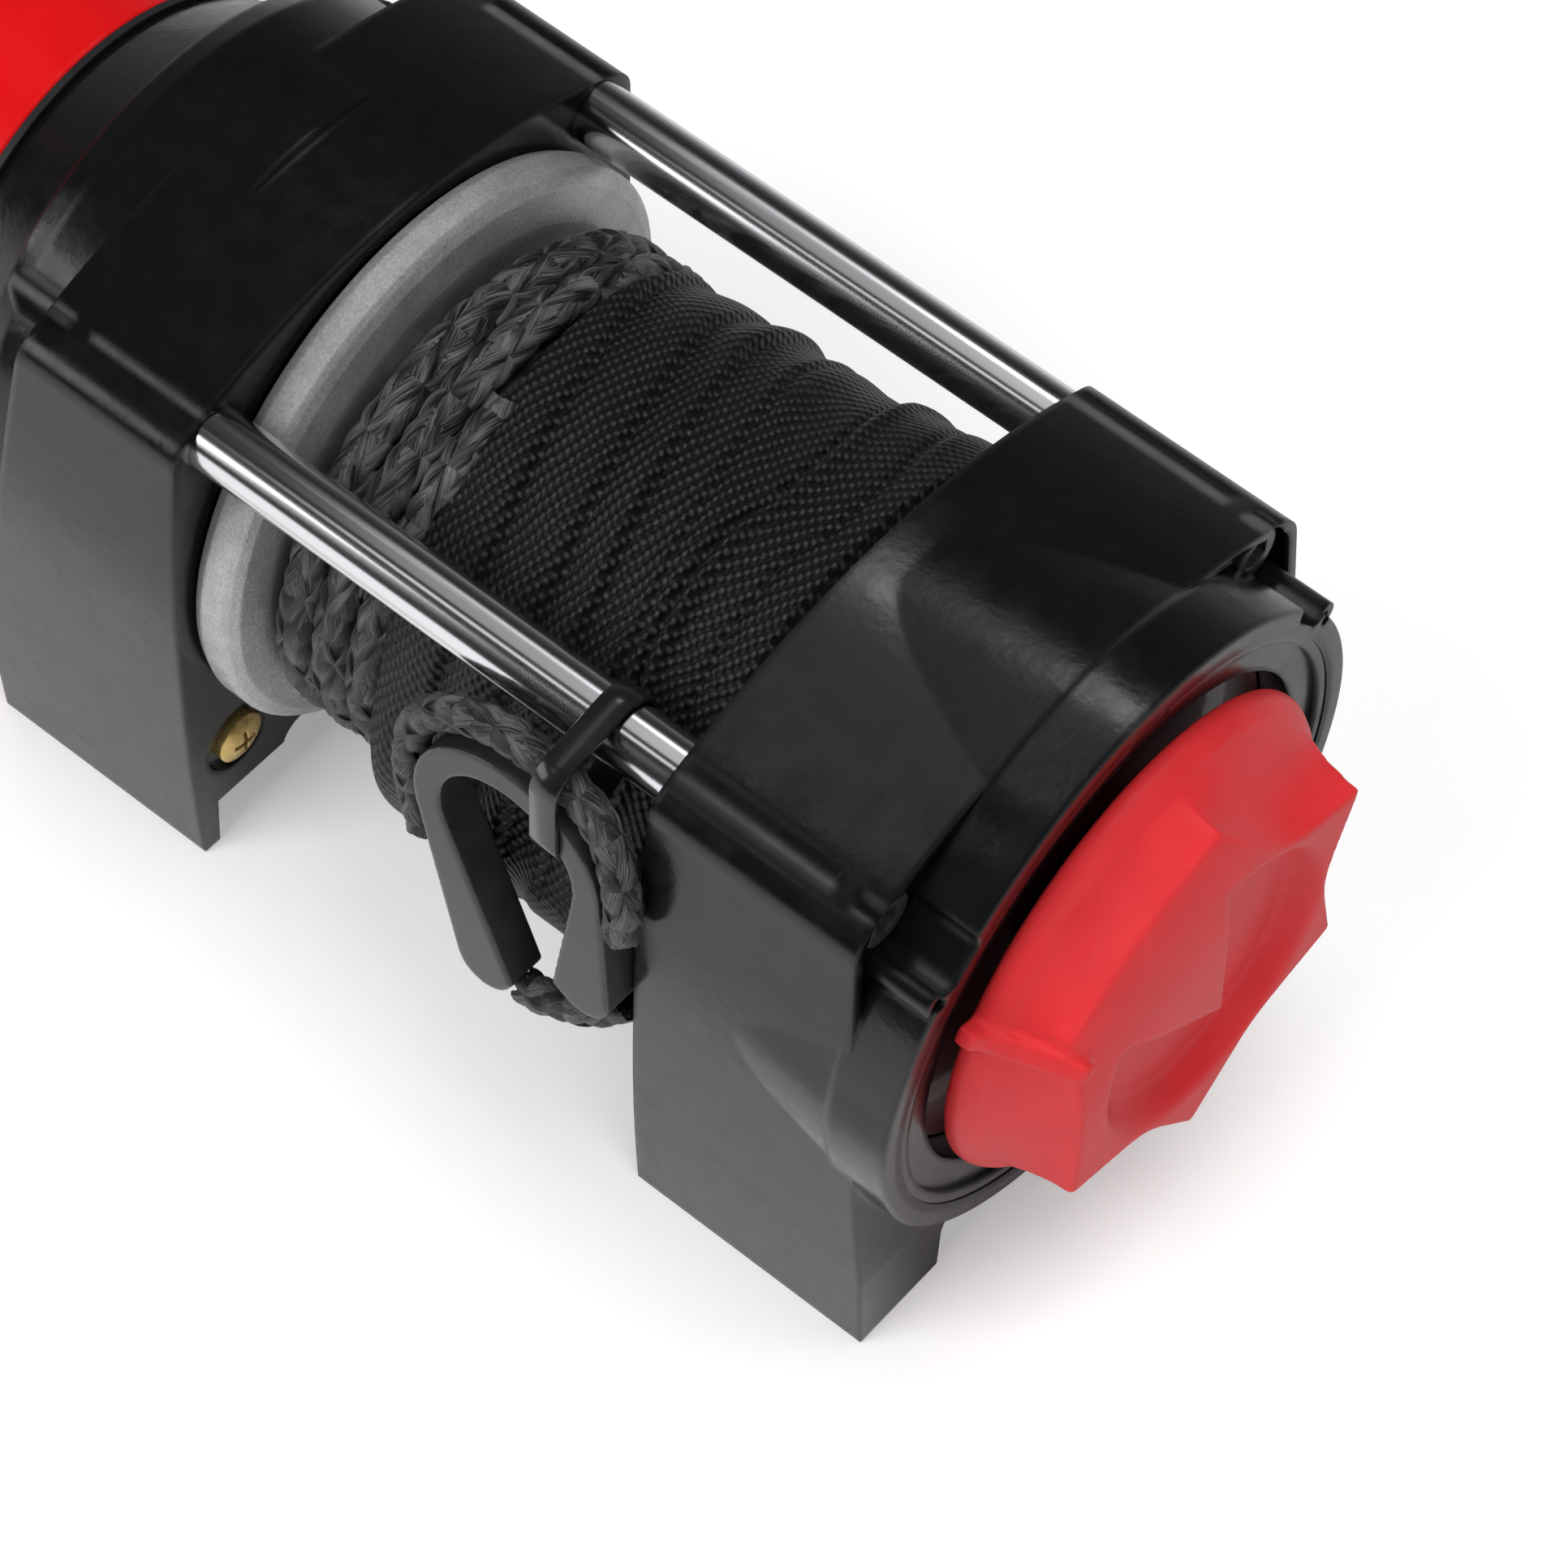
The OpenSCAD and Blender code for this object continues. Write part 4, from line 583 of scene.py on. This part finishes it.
def strap():
    """Thin strap that hugs the rod, the rope and the thimble: the outline that touches three circles (y, z, radius),
    at each angle the circle that reaches furthest, carried along X as a flat band with rounded edges."""
    middle_x = 29.5
    circles = ((-40.3, 96.1, 5.25), (-50.9, 95.4, 3.75), (-50.6, 84.8, 3.75))
    angle = np.linspace(0, TAU, 120, endpoint=False)
    normal = np.stack([np.cos(angle), np.sin(angle)], 1)
    reach = np.stack([normal @ c[:2] + c[2] for c in circles], 1)
    best = reach.argmax(1)
    centre = np.array(circles)[best]
    width, thick = 2.3, 0.9
    section = [(-width, 0.12), (-width, thick - 0.15), (-width + 0.15, thick), (width - 0.15, thick),
               (width, thick - 0.15), (width, 0.12), (width - 0.12, 0.0), (-width + 0.12, 0.0)]
    points = np.stack([np.concatenate([np.full((len(angle), 1), middle_x + sx),
                                       centre[:, :2] + (centre[:, 2:] + out) * normal], 1)
                       for sx, out in section], 1)
    faces = grid_faces(len(angle), len(section), True, True)
    return outwards(mesh_of("retaining_strap_band", points, faces, FINISHES["strap_black"]))


link("retaining_strap_band", strap(), "frame", "strap_black", "retaining_strap")


# ---------------------------------------------------------------- knob

KNOB_BACK, KNOB_R = 88.0, 39.3
BAND_X, BAND_R = 93.4, 37.0
TOP_X, TIP_R, VALLEY_R = 105.4, 34.6, 25.6
DISH_X, LIP_R, LIP_WIDE = 101.2, 24.9, 0.8
# Thumb pad: its lowest x, where its fall starts and how long it is, how far its apex lies behind the axis, half its
# width where it is PAD_END from the axis, and its shift to the side
PAD_LOW, PAD_FROM, PAD_RUN = 93.8, 8, 29
PAD_APEX, PAD_END, PAD_HALF, PAD_SHIFT = 9.5, 30, 18.0, 1.5
# Rings of the rounded rim and the band: place before the back, and how far inside the widest radius
RIM = ((0.3, 0.2), (1.2, 0.0), (2.4, 0.0), (3.2, 0.35), (5.0, 1.5))
KNOB_VOXEL, KNOB_ROUNDS = 0.5, 10


def top_radius(deg):
    """Outline of the grip's end face: six tips, with scoops between them that fall from the tips' radius by a
    sine to the power 0.8, but straight sides from 90 to 150 and from 150 to 210 degrees."""
    part = np.mod(deg - 30, 60) / 60
    scoop = TIP_R - (TIP_R - VALLEY_R) * np.sin(math.pi * part) ** 0.8
    chord = TIP_R * math.cos(math.radians(30)) / np.cos(np.radians((part - 0.5) * 60))
    straight = (np.mod(deg, 360) > 90) & (np.mod(deg, 360) < 210)
    return np.where(straight, chord, scoop)


def thumb_pad(y, z):
    """Height of the thumb pad, which falls along 120 degrees as a quarter ellipse from near the middle to the band,
    and its share: 1 inside the triangle from the two tips beside it to an apex past the middle."""
    lean = math.radians(120)
    p = y * math.cos(lean) + z * math.sin(lean)
    q = z * math.cos(lean) - y * math.sin(lean)
    pad = PAD_LOW + (TOP_X - PAD_LOW) * np.sqrt(1 - np.clip((p - PAD_FROM) / PAD_RUN, 0, 1) ** 2)
    half = PAD_HALF * (p + PAD_APEX) / (PAD_END + PAD_APEX)
    return pad, smoothstep(-0.6, 0.9, half - np.abs(q - PAD_SHIFT))


def knob_surface():
    """Closed surface round the axis as rings: back, rounded rim, sloping band, walls that hollow by a sine on their
    way up to the six-tipped outline, then the lip and the dished end face in to the middle."""
    deg = np.linspace(0, 360, 480, endpoint=False)
    a = np.radians(deg)
    top = top_radius(deg)
    rings = []

    def ring(x, r):
        """One ring at x with radius r at every angle."""
        x = np.broadcast_to(x, a.shape)
        rings.append(np.stack([x, r * np.cos(a), AXIS_Z + r * np.sin(a)], -1))

    for r in (0.0, 10.0, 20.0, 30.0, KNOB_R - 1.0):
        ring(KNOB_BACK, np.full_like(a, r))
    for forward, inward in RIM:
        ring(KNOB_BACK + forward, np.full_like(a, KNOB_R - inward))
    for t in np.linspace(0, 1, 26):
        hollow = 2.6 * np.sin(math.pi * t) * (BAND_R - top) / (BAND_R - VALLEY_R)
        r = BAND_R + (top - BAND_R) * t - hollow
        ring(np.minimum(BAND_X + (TOP_X - BAND_X) * t, thumb_pad(r * np.cos(a), r * np.sin(a))[0]), r)
    for t in np.linspace(0.03, 1, 60):
        r = top * (1 - t)
        y, z = r * np.cos(a), r * np.sin(a)
        depth = smoothstep(0, 5, np.minimum(top - r - LIP_WIDE, LIP_R - r))
        dish = TOP_X - (TOP_X - DISH_X) * depth
        pad, inside = thumb_pad(y, z)
        ring(np.minimum(np.maximum(dish, dish + (pad - dish) * inside), pad), r)
    points = np.stack(rings)
    faces = grid_faces(len(rings), len(a), wrap_columns=True)
    return outwards(mesh_of("clutch_knob_rings", points, faces, FINISHES["knob_red"]))


def pointer_tab():
    """Pointer at the knob's rim: a wedge that starts proud of the rim and runs up the nearest tip, as a loft of
    rectangles along its length. Each station has its distance from the axis, its lowest and highest x and half
    its width."""
    lean = math.radians(156)
    out = np.array([0, math.cos(lean), math.sin(lean)])
    over = np.array([0, -math.sin(lean), math.cos(lean)])
    stations = ((42.4, 88.2, 91.0, 1.5), (40.0, 88.2, 92.2, 1.7), (37.4, 88.4, 96.6, 1.8), (35.4, 88.6, 101.0, 1.9),
                (33.4, 88.6, 104.6, 1.6), (31.0, 88.6, 105.0, 1.0))
    axis = np.array([0, 0, AXIS_Z])
    points = []
    for reach, low, high, half in stations:
        for x, w in ((low, -half), (low, half), (high, half), (high, -half)):
            points.append(axis + reach * out + w * over + np.array([x, 0, 0]))
    faces = np.vstack([grid_faces(len(stations), 4, wrap_columns=True),
                       [[0, 1, 2, 3]], [[4 * len(stations) - k for k in (1, 2, 3, 4)]]])
    return outwards(mesh_of("pointer_tab", points, faces, FINISHES["knob_red"]))


def joined(*meshes):
    """Several closed meshes as one, still overlapping; the remesh fuses them."""
    work = bmesh.new()
    for mesh in meshes:
        work.from_mesh(mesh)
    made = bpy.data.meshes.new("joined")
    work.to_mesh(made)
    work.free()
    return made


shell = rounded("clutch_knob_moulded", joined(knob_surface(), pointer_tab()), FINISHES["knob_red"],
                KNOB_VOXEL, KNOB_ROUNDS)
link("clutch_knob_moulded", shell, "knob", "knob_red", "clutch_knob")


# ---------------------------------------------------------------- stage

def area_light(name, at, towards, size, power, diffuse=True, glossy=True):
    """Softbox that the camera doesn't see, of a size in metres and a power in watts, aimed at a place."""
    lamp = bpy.data.lights.new(name, "AREA")
    lamp.shape = "RECTANGLE"
    lamp.size, lamp.size_y = size
    lamp.energy = power
    holder = bpy.data.objects.new(name, lamp)
    bpy.context.scene.collection.objects.link(holder)
    holder.location = at
    holder.rotation_mode = "QUATERNION"
    holder.rotation_quaternion = (Vector(towards) - Vector(at)).to_track_quat("-Z", "Y")
    holder.visible_camera = False
    holder.visible_diffuse = diffuse
    holder.visible_glossy = glossy
    return holder


# The floor ends half a metre in front, so that chrome and paint see a dark studio beyond it
side, front, rear, below = 3.0, -0.55, 3.0, 0.25
corners = np.array([(-side, front, 0), (side, front, 0), (side, rear, 0), (-side, rear, 0)]) / MM - [0, 0, below]
floor = bpy.data.objects.new("floor", mesh_of("floor", corners, np.array([[0, 1, 2, 3]]), floor_white()))
bpy.context.scene.collection.objects.link(floor)

middle = (0.0, 0.0, 0.06)
CARD_Z = 0.52
area_light("key_above", (0.1, 0.35, 1.7), middle, (1.5, 1.3), 24.0, glossy=False)
area_light("key_front", (-0.35, -1.35, 1.35), middle, (1.2, 1.0), 24.0, glossy=False)


def card_power(radiance, size):
    """Power of a flat lamp: radiance times pi times its area."""
    return radiance * math.pi * size[0] * size[1]


def card(name, x0, x1, y0, y1, radiance):
    """Softbox over the winch that only mirrors see, as a level rectangle of even radiance."""
    size = (x1 - x0, y1 - y0)
    at = ((x0 + x1) / 2, (y0 + y1) / 2, CARD_Z)
    lamp = area_light(name, at, (at[0], at[1], 0), size, card_power(radiance, size), diffuse=False)
    lamp.rotation_quaternion = (1, 0, 0, 0)


card("glow_strip", -0.14, -0.03, 0.15, 0.24, 3.9)
card("glow_veil", -0.13, -0.03, -0.15, 0.15, 0.66)
card("side_veil", -0.2, -0.13, -0.15, 0.15, 0.36)
card("rod_shine", -0.215, -0.14, 0.06, 0.26, 0.8)
card("rod_line", -0.24, -0.09, -0.33, -0.25, 1.0)
area_light("left_front", (-0.60, -0.50, 0.36), (-0.1, 0.0, 0.08), (0.6, 0.36), card_power(2.8, (0.6, 0.36)),
           diffuse=False)
area_light("right_fill", (1.2, -0.6, 0.8), (0.1, 0.0, 0.05), (0.8, 0.8), 6.5, glossy=False)

SKY = ((0.0, 0.36), (0.14, 0.2), (0.35, 0.07), (0.6, 0.02))


def studio():
    """World that mirrors see: dark in front, and behind the winch a level that falls with height by the stops of
    SKY. Camera rays see white."""
    world = bpy.data.worlds.new("studio")
    bpy.context.scene.world = world
    world.use_nodes = True
    tree = world.node_tree
    where = tree.nodes.new("ShaderNodeTexCoord")
    split = tree.nodes.new("ShaderNodeSeparateXYZ")
    tree.links.new(where.outputs["Generated"], split.inputs[0])
    ramp = tree.nodes.new("ShaderNodeValToRGB")
    tree.links.new(split.outputs["Z"], ramp.inputs[0])
    while len(ramp.color_ramp.elements) < len(SKY):
        ramp.color_ramp.elements.new(0.5)
    for stop, (place, level) in zip(ramp.color_ramp.elements, SKY):
        stop.position = place
        stop.color = (level, level, level * 1.03, 1)
    behind = tree.nodes.new("ShaderNodeMapRange")
    tree.links.new(split.outputs["Y"], behind.inputs[0])
    behind.inputs[1].default_value, behind.inputs[2].default_value = -0.1, 0.25
    rays = tree.nodes.new("ShaderNodeLightPath")
    reflected, shown = (tree.nodes.new("ShaderNodeMix") for _ in range(2))
    reflected.data_type = shown.data_type = "RGBA"
    tree.links.new(behind.outputs[0], reflected.inputs[0])
    reflected.inputs[6].default_value = (0.018, 0.018, 0.019, 1)
    tree.links.new(ramp.outputs[0], reflected.inputs[7])
    tree.links.new(rays.outputs["Is Camera Ray"], shown.inputs[0])
    tree.links.new(reflected.outputs[2], shown.inputs[6])
    shown.inputs[7].default_value = (1, 1, 1, 1)
    tree.links.new(shown.outputs[2], tree.nodes["Background"].inputs[0])


studio()

# Camera at the photograph's place: its level right, its rise and the way back from the winch, then the roll
ROLL = math.radians(4.954)
right = Vector((0.8119, 0.5838, 0.0))
rise = Vector((-0.4791, 0.6662, 0.5714))
back_way = Vector((0.3336, -0.4639, 0.8206))
turned_right = math.cos(ROLL) * right + math.sin(ROLL) * rise
turned_up = math.cos(ROLL) * rise - math.sin(ROLL) * right
lens = bpy.data.cameras.new("camera")
lens.lens = 137.1
lens.sensor_width = 36.0
camera = bpy.data.objects.new("camera", lens)
bpy.context.scene.collection.objects.link(camera)
pose = Matrix((turned_right, turned_up, back_way)).transposed().to_4x4()
pose.translation = Vector((0.3183, -0.4023, 0.7502))
camera.matrix_world = pose
bpy.context.scene.camera = camera
bpy.context.scene.view_settings.view_transform = "Standard"
